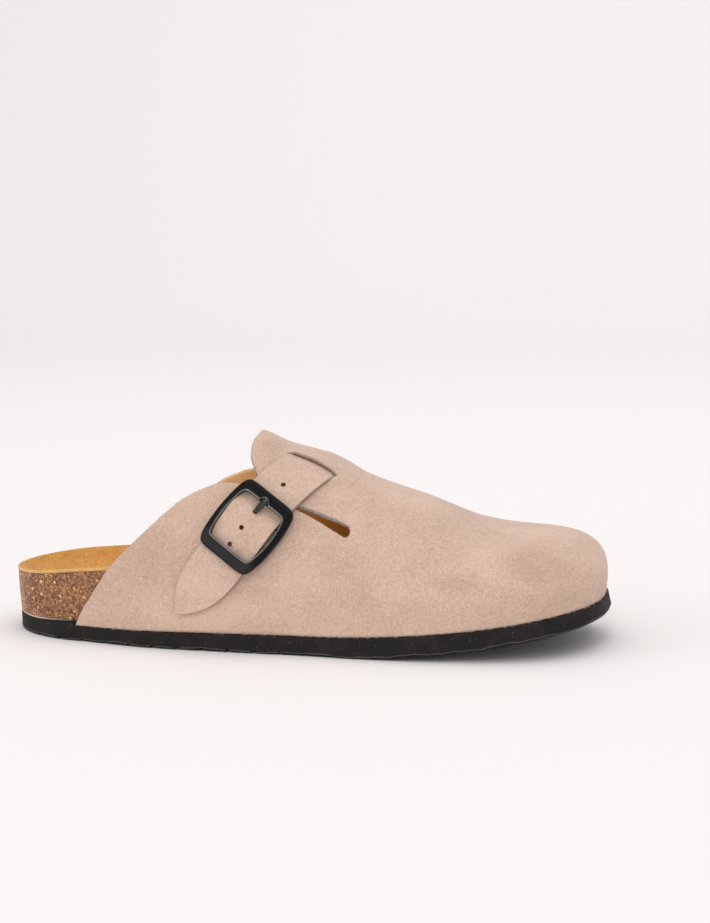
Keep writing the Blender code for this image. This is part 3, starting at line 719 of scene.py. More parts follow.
        skins = np.concatenate([skins, cut.reshape(-1)])
        return sheet_object(name, last.world(points), faces, skins)


def sheet_object(name: str, points: Array, faces: Array, skins: Array) -> Piece:
    """Mesh of a closed sheet; quads that close to a line or a point are left out.

    Args:
        name: Name of the piece.
        points: Points in metres.
        faces: Four corner numbers of each face, which may repeat.
        skins: Material number of each face.

    Returns:
        The object.
    """
    corners = [list(dict.fromkeys(face)) for face in faces.tolist()]
    kept = np.array([len(face) > 2 for face in corners])
    return mesh_object(name, points, [face for face in corners if len(face) > 2], skins[kept])


# Shader maths


class Value:
    """One socket of a shader, with arithmetic that adds Math nodes."""

    def __init__(self, shader: "Shader", socket: Socket) -> None:
        """Hold a socket of a shader."""
        self.shader = shader
        self.socket = socket

    def math(self, operation: str, *others: Union["Value", float]) -> "Value":
        """Result of a Math node on this value and others."""
        parts = dict(enumerate((self, *others)))
        return self.shader.value("ShaderNodeMath", {"operation": operation}, parts)

    def reflected(self, operation: str, other: float) -> "Value":
        """Result of a Math node on a number and this value."""
        return self.shader.value("ShaderNodeMath", {"operation": operation}, {0: other, 1: self})

    def __add__(self, other: Union["Value", float]) -> "Value":
        """Sum."""
        return self.math("ADD", other)

    def __radd__(self, other: float) -> "Value":
        """Sum with a number first."""
        return self.reflected("ADD", other)

    def __sub__(self, other: Union["Value", float]) -> "Value":
        """Difference."""
        return self.math("SUBTRACT", other)

    def __rsub__(self, other: float) -> "Value":
        """Difference with a number first."""
        return self.reflected("SUBTRACT", other)

    def __mul__(self, other: Union["Value", float]) -> "Value":
        """Product."""
        return self.math("MULTIPLY", other)

    def __rmul__(self, other: float) -> "Value":
        """Product with a number first."""
        return self.reflected("MULTIPLY", other)

    def step(self, start: float, end: float) -> "Value":
        """Smooth step of this value: 0 before `start`, 1 after `end`."""
        return self.shader.value("ShaderNodeMapRange", {"interpolation_type": "SMOOTHSTEP"},
                                 {"Value": self, "From Min": start, "From Max": end})

    def held(self) -> "Value":
        """This value kept between 0 and 1."""
        return self.shader.value("ShaderNodeClamp", {}, {"Value": self})


class Shader:
    """Node tree of one material round a Principled shader, with coordinates in millimetres."""

    def __init__(self, name: str) -> None:
        """Start a material with its Principled shader.

        Args:
            name: Name of the material.
        """
        self.material = bpy.data.materials.new(name)
        self.material.use_nodes = True
        self.tree = self.material.node_tree
        self.surface = self.tree.nodes["Principled BSDF"]
        place = self.node("ShaderNodeTexCoord")
        scaled = self.node("ShaderNodeVectorMath", {"operation": "SCALE"},
                           {0: place.outputs["Object"], "Scale": 1 / MM})
        self.place = scaled.outputs[0]

    def node(self, kind: str, settings: Optional[dict[str, Any]] = None,
             inputs: Optional[dict[Union[int, str], Any]] = None) -> bpy.types.Node:
        """Add one node.

        Args:
            kind: Type of the node.
            settings: Its settings, which are set first.
            inputs: Values or links of its sockets, by name or number.

        Returns:
            The node.
        """
        made = self.tree.nodes.new(kind)
        for key, value in (settings or {}).items():
            setattr(made, key, value)
        for key, value in (inputs or {}).items():
            self.feed(made.inputs[key], value)
        return made

    def feed(self, socket: Socket, value: Any) -> None:
        """Link a socket, or set its own value.

        Args:
            socket: Socket of a node.
            value: Value or socket to link, or what to set.
        """
        if isinstance(value, Value):
            self.tree.links.new(value.socket, socket)
        elif isinstance(value, Socket):
            self.tree.links.new(value, socket)
        elif socket.type == "RGBA":
            socket.default_value = (*value, 1.0)
        else:
            socket.default_value = value

    def set(self, **inputs: Any) -> None:
        """Feed sockets of the Principled shader, named in small letters with _ between words."""
        sockets = {socket.name.lower().replace(" ", "_"): socket for socket in self.surface.inputs}
        for key, value in inputs.items():
            self.feed(sockets[key], value)

    def axis(self, axis: Axis) -> Value:
        """Coordinate along one axis, in millimetres."""
        return self.value("ShaderNodeSeparateXYZ", {}, {0: self.place}, axis.value)

    def value(self, kind: str, settings: dict[str, Any], inputs: dict[Union[int, str], Any],
              output: Union[int, str] = 0) -> Value:
        """One output of a new node as a value."""
        return Value(self, self.node(kind, settings, inputs).outputs[output])

    def vector(self, operation: str, first: Any, second: Any) -> Socket:
        """Result of a Vector Math node on two vectors."""
        made = self.node("ShaderNodeVectorMath", {"operation": operation}, {0: first, 1: second})
        return made.outputs[0]

    def noise(self, size: float, detail: float = 2.0, rough: float = 0.5,
              place: Optional[Socket] = None) -> Value:
        """Noise whose blots are about `size` millimetres wide.

        Args:
            size: Width of a blot in millimetres.
            detail: How many finer layers are added.
            rough: Strength of the finer layers.
            place: Coordinates, if they aren't the plain ones.

        Returns:
            The noise, about 0.5 in the mean.
        """
        inputs = {"Vector": place or self.place, "Scale": 1 / size, "Detail": detail, "Roughness": rough}
        return self.value("ShaderNodeTexNoise", {}, inputs, "Fac")

    def cells(self, size: float) -> tuple[Value, Value]:
        """Voronoi cells of `size` millimetres.

        Args:
            size: Width of a cell in millimetres.

        Returns:
            The distance from a cell's core, and a random number of each cell.
        """
        made = self.node("ShaderNodeTexVoronoi", {}, {"Vector": self.place, "Scale": 1 / size})
        random = self.value("ShaderNodeSeparateColor", {}, {0: made.outputs["Color"]})
        return Value(self, made.outputs["Distance"]), random

    def far(self, middle: Triple, reach: Triple) -> Value:
        """Distance from a middle in parts of a reach along each axis: 1 on an ellipsoid round it.

        Args:
            middle: Middle of the ellipsoid.
            reach: Its three half lengths.

        Returns:
            The distance.
        """
        part = self.vector("DIVIDE", self.vector("SUBTRACT", self.place, middle), reach)
        return self.value("ShaderNodeVectorMath", {"operation": "LENGTH"}, {0: part}, "Value")

    def mix(self, factor: Union[Value, float], first: Any, second: Any) -> Socket:
        """Colour between two colours."""
        made = self.node("ShaderNodeMix", {"data_type": "RGBA", "clamp_factor": True},
                         {0: factor, 6: first, 7: second})
        return made.outputs[2]

    def bump(self, height: Value, depth: float) -> None:
        """Feed the surface's normal with a relief `depth` millimetres high."""
        made = self.node("ShaderNodeBump", {}, {"Height": height, "Distance": depth * MM, "Strength": 1.0})
        self.feed(self.surface.inputs["Normal"], made.outputs[0])


# Finishes


@dataclass(frozen=True)
class Brush:
    """Lighter or darker patch of a finish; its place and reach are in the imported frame."""

    middle: Triple
    reach: Triple
    share: float

    def over(self, shader: Shader, start: float = 0.2) -> Value:
        """Share of the patch: full up to `start` of its reach, then falling to none at its reach."""
        return (1 - shader.far(self.middle, self.reach).step(start, 1.0)) * self.share


@dataclass(frozen=True)
class Suede:
    """Napped leather: brushed patches, a fine grain, stray dark fibres and listed patches of painted light
    and shade.
    """

    name: str
    light: Colour
    dark: Colour
    speck: Colour
    patch: float = 26.0
    patch_share: float = 0.38
    stretch: Triple = (0.55, 1.0, 1.35)
    grain: float = 0.58
    grain_share: float = 3.3
    speck_share: float = 0.3
    nap_depth: float = 0.16
    roughness: float = 0.92
    sheen: float = 0.25
    # Listed patches: painted light and shade, and real marks such as a scuff
    tone_and_painted_light: tuple[Brush, ...] = ()
    # Painted shade: deep inside, the colour turns to this one along X over the span below
    deep: Optional[Colour] = None
    painted_shade_span: Pair = (-45.0, 0.0)

    def material(self) -> Material:
        """Colour by patches plus grain and by listed patches of painted light and shade, with the grain as
        relief; deep inside, it may turn darker: painted shade.

        Returns:
            The material.
        """
        shader = Shader(self.name)
        patches = shader.noise(self.patch, 3.0, 0.55)
        stretched = shader.vector("MULTIPLY", shader.place, self.stretch)
        tone_and_painted_light = shader.noise(self.patch * 0.32, 2.0, 0.5, stretched)
        fine = shader.noise(self.grain, 3.0, 0.7)
        coarse = shader.noise(self.grain * 3.2, 2.0, 0.6)
        share = 0.5 + (patches - 0.5) * (2 * self.patch_share) + (tone_and_painted_light - 0.5) * self.patch_share
        share = share + (fine - 0.5) * self.grain_share + (coarse - 0.5) * (0.3 * self.grain_share)
        # Listed patches: painted light and shade, and real marks such as a scuff
        for brush in self.tone_and_painted_light:
            share = share + brush.over(shader)
        colour = shader.mix(share.held(), self.dark, self.light)
        # Painted shade deep inside: toward the toe the colour turns to the deep one
        if self.deep is not None:
            colour = shader.mix(shader.axis(Axis.ALONG).step(*self.painted_shade_span), colour, self.deep)
        fibres = shader.noise(self.grain * 1.2, 1.0, 0.5).step(0.66, 0.76) * self.speck_share
        shader.set(base_color=shader.mix(fibres, colour, self.speck),
                   roughness=(self.roughness + (fine - 0.5) * 0.1).held(),
                   sheen_weight=self.sheen, sheen_roughness=0.5, specular_ior_level=0.15)
        shader.bump(fine * 0.7 + coarse * 0.5, self.nap_depth)
        return shader.material


@dataclass(frozen=True)
class Cork:
    """Bound cork: a brown ground, orange granules of two sizes and dark pores."""

    name: str
    ground: Colour
    dark: Colour
    granule: Colour
    bright: Colour
    glue: Colour
    worn: Colour
    chip: Colour
    worn_span: Pair = (-139.0, -127.0)
    chips: tuple[Brush, ...] = ()
    large: float = 2.5
    small: float = 1.15
    glue_top: float = 9.0

    def material(self) -> Material:
        """Granules are the cores of random cells; the glue shows as a line at the lower edge.

        Returns:
            The material.
        """
        shader = Shader(self.name)
        cloud = shader.noise(6.0, 3.0, 0.6)
        fine = shader.noise(0.5, 3.0, 0.65)
        colour = shader.mix((cloud * 0.7 + fine * 0.8 - 0.25).held(), self.dark, self.ground)
        pores = shader.noise(1.6, 3.0, 0.6).step(0.5, 0.62)
        colour = shader.mix(pores * 0.85, colour, self.dark)
        small_core, small_pick = shader.cells(self.small)
        grains = (1 - (small_core + (fine - 0.5) * 1.1).step(0.3, 0.6)) * small_pick.step(0.35, 0.6)
        colour = shader.mix(grains * 0.72, colour, self.granule)
        large_core, large_pick = shader.cells(self.large)
        lumps = (1 - (large_core + (fine - 0.5) * 0.5).step(0.2, 0.38)) * large_pick.step(0.68, 0.76)
        colour = shader.mix(lumps * 0.9, colour, self.bright)
        flecks = shader.noise(0.95, 3.0, 0.7).step(0.56, 0.66)
        flecks = flecks * shader.noise(7.0, 1.0, 0.5).step(0.4, 0.62)
        colour = shader.mix(flecks * 0.75, colour, self.bright)
        worn = 1 - shader.axis(Axis.ALONG).step(*self.worn_span)
        colour = shader.mix(worn * 0.5, colour, self.worn)
        height = shader.axis(Axis.UP) + (fine - 0.5) * 0.5
        line = 1 - height.step(self.glue_top - 0.25, self.glue_top)
        colour = shader.mix(line, colour, self.glue)
        for chip in self.chips:
            colour = shader.mix(chip.over(shader, 0.5), colour, self.chip)
        rough = (0.62 + (fine - 0.5) * 0.3).held()
        shader.set(base_color=colour, roughness=rough, specular_ior_level=0.3)
        shader.bump(grains * 0.25 + lumps * 0.3 + fine * 0.4 - pores * 0.6, 0.22)
        return shader.material


@dataclass(frozen=True)
class Foam:
    """Foamed black rubber: fine pores, scattered pale specks and a sheen of dust."""

    name: str
    base: Colour
    dust: Colour
    speck: Colour
    roughness: float = 0.62
    dust_and_reflection: tuple[Brush, ...] = ()

    def material(self) -> Material:
        """Dust by broad noise and where it has gathered, specks by the cores of few cells.

        Returns:
            The material.
        """
        shader = Shader(self.name)
        dust = shader.noise(9.0, 4.0, 0.65)
        pores = shader.noise(0.45, 2.0, 0.6)
        share = dust.step(0.4, 0.75) * 0.7 + (pores - 0.5) * 0.7
        for brush in self.dust_and_reflection:
            share = share + brush.over(shader)
        colour = shader.mix(share.held(), self.base, self.dust)
        core, pick = shader.cells(1.4)
        specks = (1 - core.step(0.1, 0.2)) * pick.step(0.62, 0.72)
        colour = shader.mix(specks * 0.8, colour, self.speck)
        rough = (self.roughness + (pores - 0.5) * 0.35).held()
        shader.set(base_color=colour, roughness=rough, specular_ior_level=0.35)
        shader.bump(pores * 0.7 + dust * 0.4, 0.1)
        return shader.material


@dataclass(frozen=True)
class Lacquer:
    """Black lacquer on metal: satin gloss, faint orange peel and dust."""

    name: str
    base: Colour
    dust: Colour
    roughness: float = 0.34
    gloss: float = 0.1
    coat: float = 0.05
    dust_and_reflection: tuple[Brush, ...] = ()

    def material(self) -> Material:
        """Roughness by fine noise under a thin clear coat, with dust in specks and listed patches of the
        dust colour, which on the frame are a painted reflection of the floor.

        Returns:
            The material.
        """
        shader = Shader(self.name)
        peel = shader.noise(0.9, 2.0, 0.5)
        dust = shader.noise(0.35, 2.0, 0.7).step(0.7, 0.8)
        share = dust * 0.35
        # Listed patches: on the frame, a painted reflection of the floor
        for brush in self.dust_and_reflection:
            share = share + brush.over(shader, 0.3)
        shader.set(base_color=shader.mix(share.held(), self.base, self.dust),
                   roughness=(self.roughness + (peel - 0.5) * 0.16 + dust * 0.2).held(),
                   specular_ior_level=self.gloss, coat_weight=self.coat, coat_roughness=0.15)
        shader.bump(peel, 0.035)
        return shader.material


@dataclass(frozen=True)
class Paper:
    """Plain pale paper of the studio floor."""

    name: str
    colour: Colour

    def material(self) -> Material:
        """One even colour without gloss.

        Returns:
            The material.
        """
        shader = Shader(self.name)
        shader.set(base_color=self.colour, roughness=1.0, specular_ior_level=0.0)
        return shader.material


UPPER_SUEDE = Suede(
    "upper_suede", light=(0.72, 0.52, 0.41), dark=(0.50, 0.34, 0.255), speck=(0.30, 0.19, 0.13),
    tone_and_painted_light=(
        # Painted light and shade: lighter tops of vamp and toe, a darker toe side and lower vamp, and
        # other lit and shaded patches
        Brush((112.0, -34.0, 42.0), (26.0, 22.0, 11.0), -0.34),
        Brush((85.0, -38.0, 41.0), (16.0, 20.0, 9.0), 0.22),
        Brush((134.0, -14.0, 38.0), (10.0, 22.0, 16.0), 0.22),
        Brush((54.0, -46.0, 32.0), (20.0, 20.0, 9.0), 0.12),
        Brush((75.0, -43.0, 35.0), (14.0, 20.0, 8.0), -0.2),
        Brush((-58.0, -40.0, 42.0), (34.0, 24.0, 16.0), -0.2),
        Brush((-40.0, -44.0, 18.0), (60.0, 26.0, 14.0), 0.32),
        Brush((60.0, -10.0, 66.0), (40.0, 26.0, 14.0), 0.2),
        Brush((112.0, -8.0, 56.0), (32.0, 24.0, 14.0), 0.28),
        Brush((118.0, -30.0, 24.0), (26.0, 26.0, 14.0), -0.16),
        Brush((-14.0, -8.0, 86.0), (14.0, 14.0, 8.0), -0.25),
        Brush((6.0, -45.0, 30.0), (26.0, 20.0, 10.0), 0.12),
        # A real scuff: two dark strokes with a lighter rim
        Brush((-65.4, -41.7, 32.6), (1.5, 4.0, 0.6), -3.6),
        Brush((-64.2, -41.9, 32.2), (1.2, 4.0, 0.55), -3.6),
        Brush((-67.4, -41.5, 32.0), (0.8, 4.0, 0.8), 1.4),
    ),
)
STRAP_EDGE = Suede(
    "strap_edge", light=(0.46, 0.36, 0.31), dark=(0.26, 0.19, 0.155), speck=(0.12, 0.08, 0.06),
    patch=5.0, nap_depth=0.25, sheen=0.1,
)
# Painted shade: the holes' walls are darker than the strap's cut edge, standing in for the shade inside
# the holes
HOLE_WALL_SHADE = Suede(
    "hole_wall", light=(0.26, 0.175, 0.13), dark=(0.12, 0.075, 0.05), speck=(0.03, 0.02, 0.015),
    patch=3.0, nap_depth=0.1, sheen=0.0,
)
STRAP_SUEDE = Suede(
    "strap_suede", light=(0.74, 0.54, 0.43), dark=(0.52, 0.36, 0.27), speck=(0.30, 0.19, 0.13),
)
CUT_EDGE = Suede(
    "cut_edge", light=(0.50, 0.40, 0.35), dark=(0.30, 0.225, 0.19), speck=(0.14, 0.09, 0.065),
    patch=6.0, nap_depth=0.25, sheen=0.1,
)
EDGE_FUZZ = Suede(
    "edge_fuzz", light=(0.66, 0.49, 0.40), dark=(0.46, 0.33, 0.26), speck=(0.30, 0.19, 0.13),
    patch=6.0, nap_depth=0.05,
)
# Toward the toe the lining turns to a darker, yellower tan: painted shade deep inside the vamp
LINING = Suede(
    "lining", light=(0.95, 0.60, 0.32), dark=(0.76, 0.45, 0.21), speck=(0.40, 0.22, 0.09), patch=18.0,
    nap_depth=0.14, deep=(0.70, 0.38, 0.085),
)
INSOLE_SUEDE = Suede(
    "insole_suede", light=(0.78, 0.40, 0.115), dark=(0.50, 0.225, 0.05), speck=(0.30, 0.13, 0.03),
    patch=12.0, nap_depth=0.2,
)
INSOLE_EDGE = Suede(
    "insole_edge", light=(0.80, 0.48, 0.19), dark=(0.62, 0.34, 0.11), speck=(0.4, 0.2, 0.06),
    patch=9.0, nap_depth=0.12,
)
BOUND_CORK = Cork(
    "bound_cork", ground=(0.38, 0.182, 0.098), dark=(0.10, 0.05, 0.032), granule=(0.67, 0.30, 0.112),
    bright=(0.98, 0.54, 0.215), glue=(0.62, 0.57, 0.54), worn=(0.56, 0.37, 0.27),
    chip=(0.78, 0.72, 0.76),
    chips=(
        Brush((-127.3, -25.1, 28.7), (0.55, 1.4, 0.5), 0.9),
        Brush((-126.9, -25.3, 27.9), (0.45, 1.4, 0.45), 0.9),
        Brush((-92.2, -36.9, 31.9), (0.75, 1.5, 0.35), 0.7),
        Brush((-91.0, -37.1, 31.4), (0.8, 1.5, 0.3), 0.7),
    ),
)
SOLE_FOAM = Foam(
    "sole_foam", base=(0.0066, 0.0046, 0.0046), dust=(0.022, 0.0155, 0.015), speck=(0.14, 0.125, 0.115),
    roughness=0.8, dust_and_reflection=(Brush((138.0, -4.0, 16.0), (14.0, 20.0, 12.0), 0.8),),
)
# Painted highlight: the moulding line's ridge is a lighter grey band
SOLE_LINE_HIGHLIGHT = Foam(
    "sole_line", base=(0.05, 0.047, 0.046), dust=(0.10, 0.095, 0.09), speck=(0.16, 0.15, 0.14),
    roughness=0.7,
)
FRAME_LACQUER = Lacquer(
    "frame_lacquer", base=(0.005, 0.005, 0.0052), dust=(0.036, 0.030, 0.032),
    # The three patches along the lower end bar are a painted reflection of the floor, in the dust colour
    dust_and_reflection=(
        Brush((-34.5, -45.2, 51.3), (7.5, 7.5, 7.5), 0.7),
        Brush((-26.6, -46.8, 45.7), (7.5, 7.5, 7.5), 0.7),
        Brush((-18.5, -48.5, 40.0), (7.5, 7.5, 7.5), 0.7),
    ),
)
# Painted highlight: a grey base along the bead's crest, on top of its real gloss
BEAD_HIGHLIGHT_LACQUER = Lacquer(
    "edge_lacquer", base=(0.06, 0.058, 0.06), dust=(0.09, 0.088, 0.09), roughness=0.15, gloss=0.9,
    coat=1.0,
)
# Painted light: the outer wall is lighter than the frame's top, so that it shows as a grey band
LIT_WALL_LACQUER = Lacquer(
    "wall_lacquer", base=(0.016, 0.016, 0.0165), dust=(0.05, 0.048, 0.046), gloss=0.25,
)
PRONG_LACQUER = Lacquer(
    "prong_lacquer", base=(0.005, 0.005, 0.0052), dust=(0.03, 0.029, 0.028), roughness=0.2, gloss=0.4,
    coat=0.4,
)
THREAD = Suede(
    "thread", light=(0.60, 0.45, 0.36), dark=(0.44, 0.32, 0.25), speck=(0.3, 0.2, 0.14), patch=3.0,
    grain=0.3, nap_depth=0.08,
)


def settle(piece: Piece, nodes: Sequence[Node],
           materials: Sequence[Material]) -> Piece:
    """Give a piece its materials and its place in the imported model.

    Args:
        piece: The piece.
        nodes: Solids that it stands for.
        materials: Its materials, in the order of its face numbers.

    Returns:
        The piece.
    """
    for material in materials:
        piece.data.materials.append(material)
    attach(piece, BODY)
    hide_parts(*[node.value for node in nodes])
    LOG.info("%s: %d faces", piece.name, len(piece.data.polygons))
    return piece


# Outsole


@dataclass
class Outsole:
    """Black foamed sole: rounded edges, a moulding line, cross grooves and fine sipes."""

    last: Last
    round_low: float = 1.7
    round_top: float = 0.5
    tread_pitch: float = 12.0
    tread_width: float = 3.0
    tread_depth: float = 1.3
    tread_wave: float = 2.0
    tread_waves: int = 3
    tread_first: float = 17.0
    tread_last: float = 262.0
    wall: float = 0.5
    sipe_width: float = 1.1
    sipe_depth: float = 0.7
    line_height: float = 1.15
    line_reach: float = 0.16
    line_half: float = 0.24
    tread_rim: float = 5.0
    calm_from: Pair = (150.0, 195.0)
    heel_drop: Table = Table(("station", "drop"), ((0, 0.9), (18, 0.8), (38, 0.45)))
    ledge: Table = Table(
        ("station", "drop"),
        (
            (37, 1.9), (56, 1.7), (70, 1.4), (97, 0.75), (130, 0.25), (160, 0.0), (200, 0.1),
            (230, 0.45), (255, 0.7), (268, 1.1), (278, 1.9),
        ),
    )
    ledge_corner: Pair = (35.9, 37.1)
    ledge_insets: Triple = (3.1, 2.7, 1.2)

    def drop(self, station: Array) -> Array:
        """Depth of the top edge under the plain sole: a ledge under the upper, less round the heel.

        Args:
            station: Stations.

        Returns:
            The depth at each station.
        """
        part = ramp(station, *self.ledge_corner)
        ledge = np.maximum(self.ledge.read("drop", station), 0)
        return self.heel_drop.read("drop", station) * (1 - part) + ledge * part

    def stations(self) -> Array:
        """Stations of the rings: round ends, both walls of every groove and sipe, and lugs between.

        Returns:
            The stations in order.
        """
        grooves = np.arange(self.tread_first, self.tread_last, self.tread_pitch)
        half = 0.5 * self.tread_width
        steps = half + self.wall * np.array([-1.0, -0.66, -0.33, 0.0, 0.4])
        near = np.concatenate([-steps[::-1], [-0.4 * half, 0.4 * half], steps])
        across = np.array([-1.4, -1.0, -0.6, 0.0, 0.6, 1.0, 1.4])
        sipe = 0.5 * self.tread_pitch + 0.5 * self.sipe_width * across
        walls = (grooves[:, None] + np.concatenate([near, sipe])[None, :]).reshape(-1)
        ends = np.concatenate([self.last.heel_stations(44), self.last.toe_stations(70)])
        middle = np.concatenate([ends, np.arange(35.6, 38.0, 0.2)])
        return np.unique(np.round(np.clip(np.concatenate([walls, middle]), 0, self.last.length), 3))

    def cut(self, station: Array) -> Array:
        """Depth of the tread: full in the grooves, shallow in the sipes between, none on the lugs.

        Args:
            station: Stations.

        Returns:
            The depth at each station.
        """
        apart = 0.5 * self.tread_pitch
        place = (station - self.tread_first + apart) % self.tread_pitch - apart
        inside = ramp(station, self.tread_first - 4, self.tread_first - 2)
        inside = inside * (1 - ramp(station, self.tread_last + 1, self.tread_last + 3))
        half = 0.5 * self.tread_width
        deep = self.tread_depth * (1 - ramp(np.abs(place), half - self.wall, half))
        off = np.abs(np.abs(place) - apart)
        fine = self.sipe_depth * (1 - ramp(off, 0.3 * self.sipe_width, 0.5 * self.sipe_width))
        return inside * np.maximum(deep, fine)

    def profile(self, s: Array, thick: Array) -> tuple[list[tuple[Array, Array]], list[int]]:
        """Inset and depth of the side's points, from the ledge over the top edge to the floor.

        Args:
            s: Stations of the rings.
            thick: Thickness of the sole at each ring.

        Returns:
            Inset and depth of each point for all rings, and the numbers of the moulding line's points.
        """
        drop, none = self.drop(s), 0 * thick
        wall, corner, lip = self.ledge_insets
        rows = [(wall + none, none), (corner + none, drop), (lip + none, drop)]
        for a in np.linspace(0, np.pi / 2, 5):
            inset = self.round_top * (1 - np.sin(a)) + none
            rows.append((inset, drop + self.round_top * (1 - np.cos(a))))
        start = drop + self.round_top
        wander = 0.3 * np.sin(s / 7.3) + 0.2 * np.sin(s / 3.1 + 1.0) + 0.14 * np.sin(s / 1.3)
        line = thick - self.line_height - wander
        for share in np.linspace(0, 1, 12)[1:]:
            rows.append((none, start + (line - self.line_half - start) * share))
        marks = [len(rows) - 1, len(rows), len(rows) + 1]
        rows.append((none - self.line_reach, line - 0.4 * self.line_half))
        rows.append((none - self.line_reach, line + 0.4 * self.line_half))
        foot = line + self.line_half
        for a in np.linspace(0, np.pi / 2, 14):
            rows.append((self.round_low * (1 - np.cos(a)) + none, foot + (thick - foot) * np.sin(a)))
        return rows, marks

    def rings(self) -> tuple[Array, Array]:
        """Cross rings from the lateral top over the floor to the medial top, square to the rocker.

        Returns:
            The rings, and the material number of the faces after each point of a ring; number 1 is the
            moulding line's painted highlight.
        """
        last, s = self.last, self.stations()
        slope = last.rocker(s + 0.5) - last.rocker(s - 0.5)
        down = unit(np.stack([slope, 0 * slope, -np.ones_like(slope)], -1))
        top, cut = last.sole_top(s), self.cut(s)
        thick = top - last.rocker(s)
        profile, marks = self.profile(s, thick)
        floor = thick - cut * (1 - self.calm_rim(s))
        sides = []
        for side in Side:
            rows = []
            for inset, depth in profile:
                point = last.edge_point(s, side.value, inset, top)
                rows.append(point + down * np.minimum(depth, floor)[:, None])
            sides.append(rows)
        under = self.underside(s, top, down, thick, cut)
        rings = np.stack(sides[0] + under + sides[1][::-1], 1)
        bands = np.zeros(rings.shape[1], int)
        # The moulding line's faces take the painted highlight
        bands[marks] = 1
        bands[[rings.shape[1] - 2 - mark for mark in marks]] = 1
        return rings, bands

    def calm_rim(self, s: Array) -> Array:
        """Share by which the grooves run out before the rim: none at the heel, all at the toe."""
        return ramp(s, *self.calm_from)

    def underside(self, s: Array, top: Array, down: Array, thick: Array, cut: Array) -> list[Array]:
        """Points across the tread, with a wave along the grooves, which run out before the rim.

        Args:
            s: Stations of the rings.
            top: Height of the sole's top at each ring.
            down: Direction down through the sole.
            thick: Thickness of the sole.
            cut: Depth of the tread.

        Returns:
            One row of points for each place across, lateral to medial.
        """
        ends = [self.last.edge_point(s, side.value, self.round_low + 0.02, top) for side in Side]
        wide = np.linalg.norm(ends[1] - ends[0], axis=1)
        calm = ramp(s, 8, 22) * (1 - ramp(s, 256, 272))
        rows = []
        for part in 0.5 + 0.5 * dense_ends(37)[1:-1]:
            inside = 1 - self.calm_rim(s) * (1 - ramp(min(part, 1 - part) * wide, 1.0, self.tread_rim))
            point = ends[0] * (1 - part) + ends[1] * part + down * (thick - cut * inside)[:, None]
            wave = np.sin(self.tread_waves * np.pi * part) * np.sin(np.pi * part)
            point[:, 0] += self.tread_wave * wave * calm
            rows.append(point)
        return rows

    def build(self) -> None:
        """Build and dress the outsole."""
        rings, bands = self.rings()
        piece = loft("outsole_foam", self.last.world(rings), bands=bands)
        settle(piece, [Node.OUTSOLE], [SOLE_FOAM.material(), SOLE_LINE_HIGHLIGHT.material()])


# Footbed


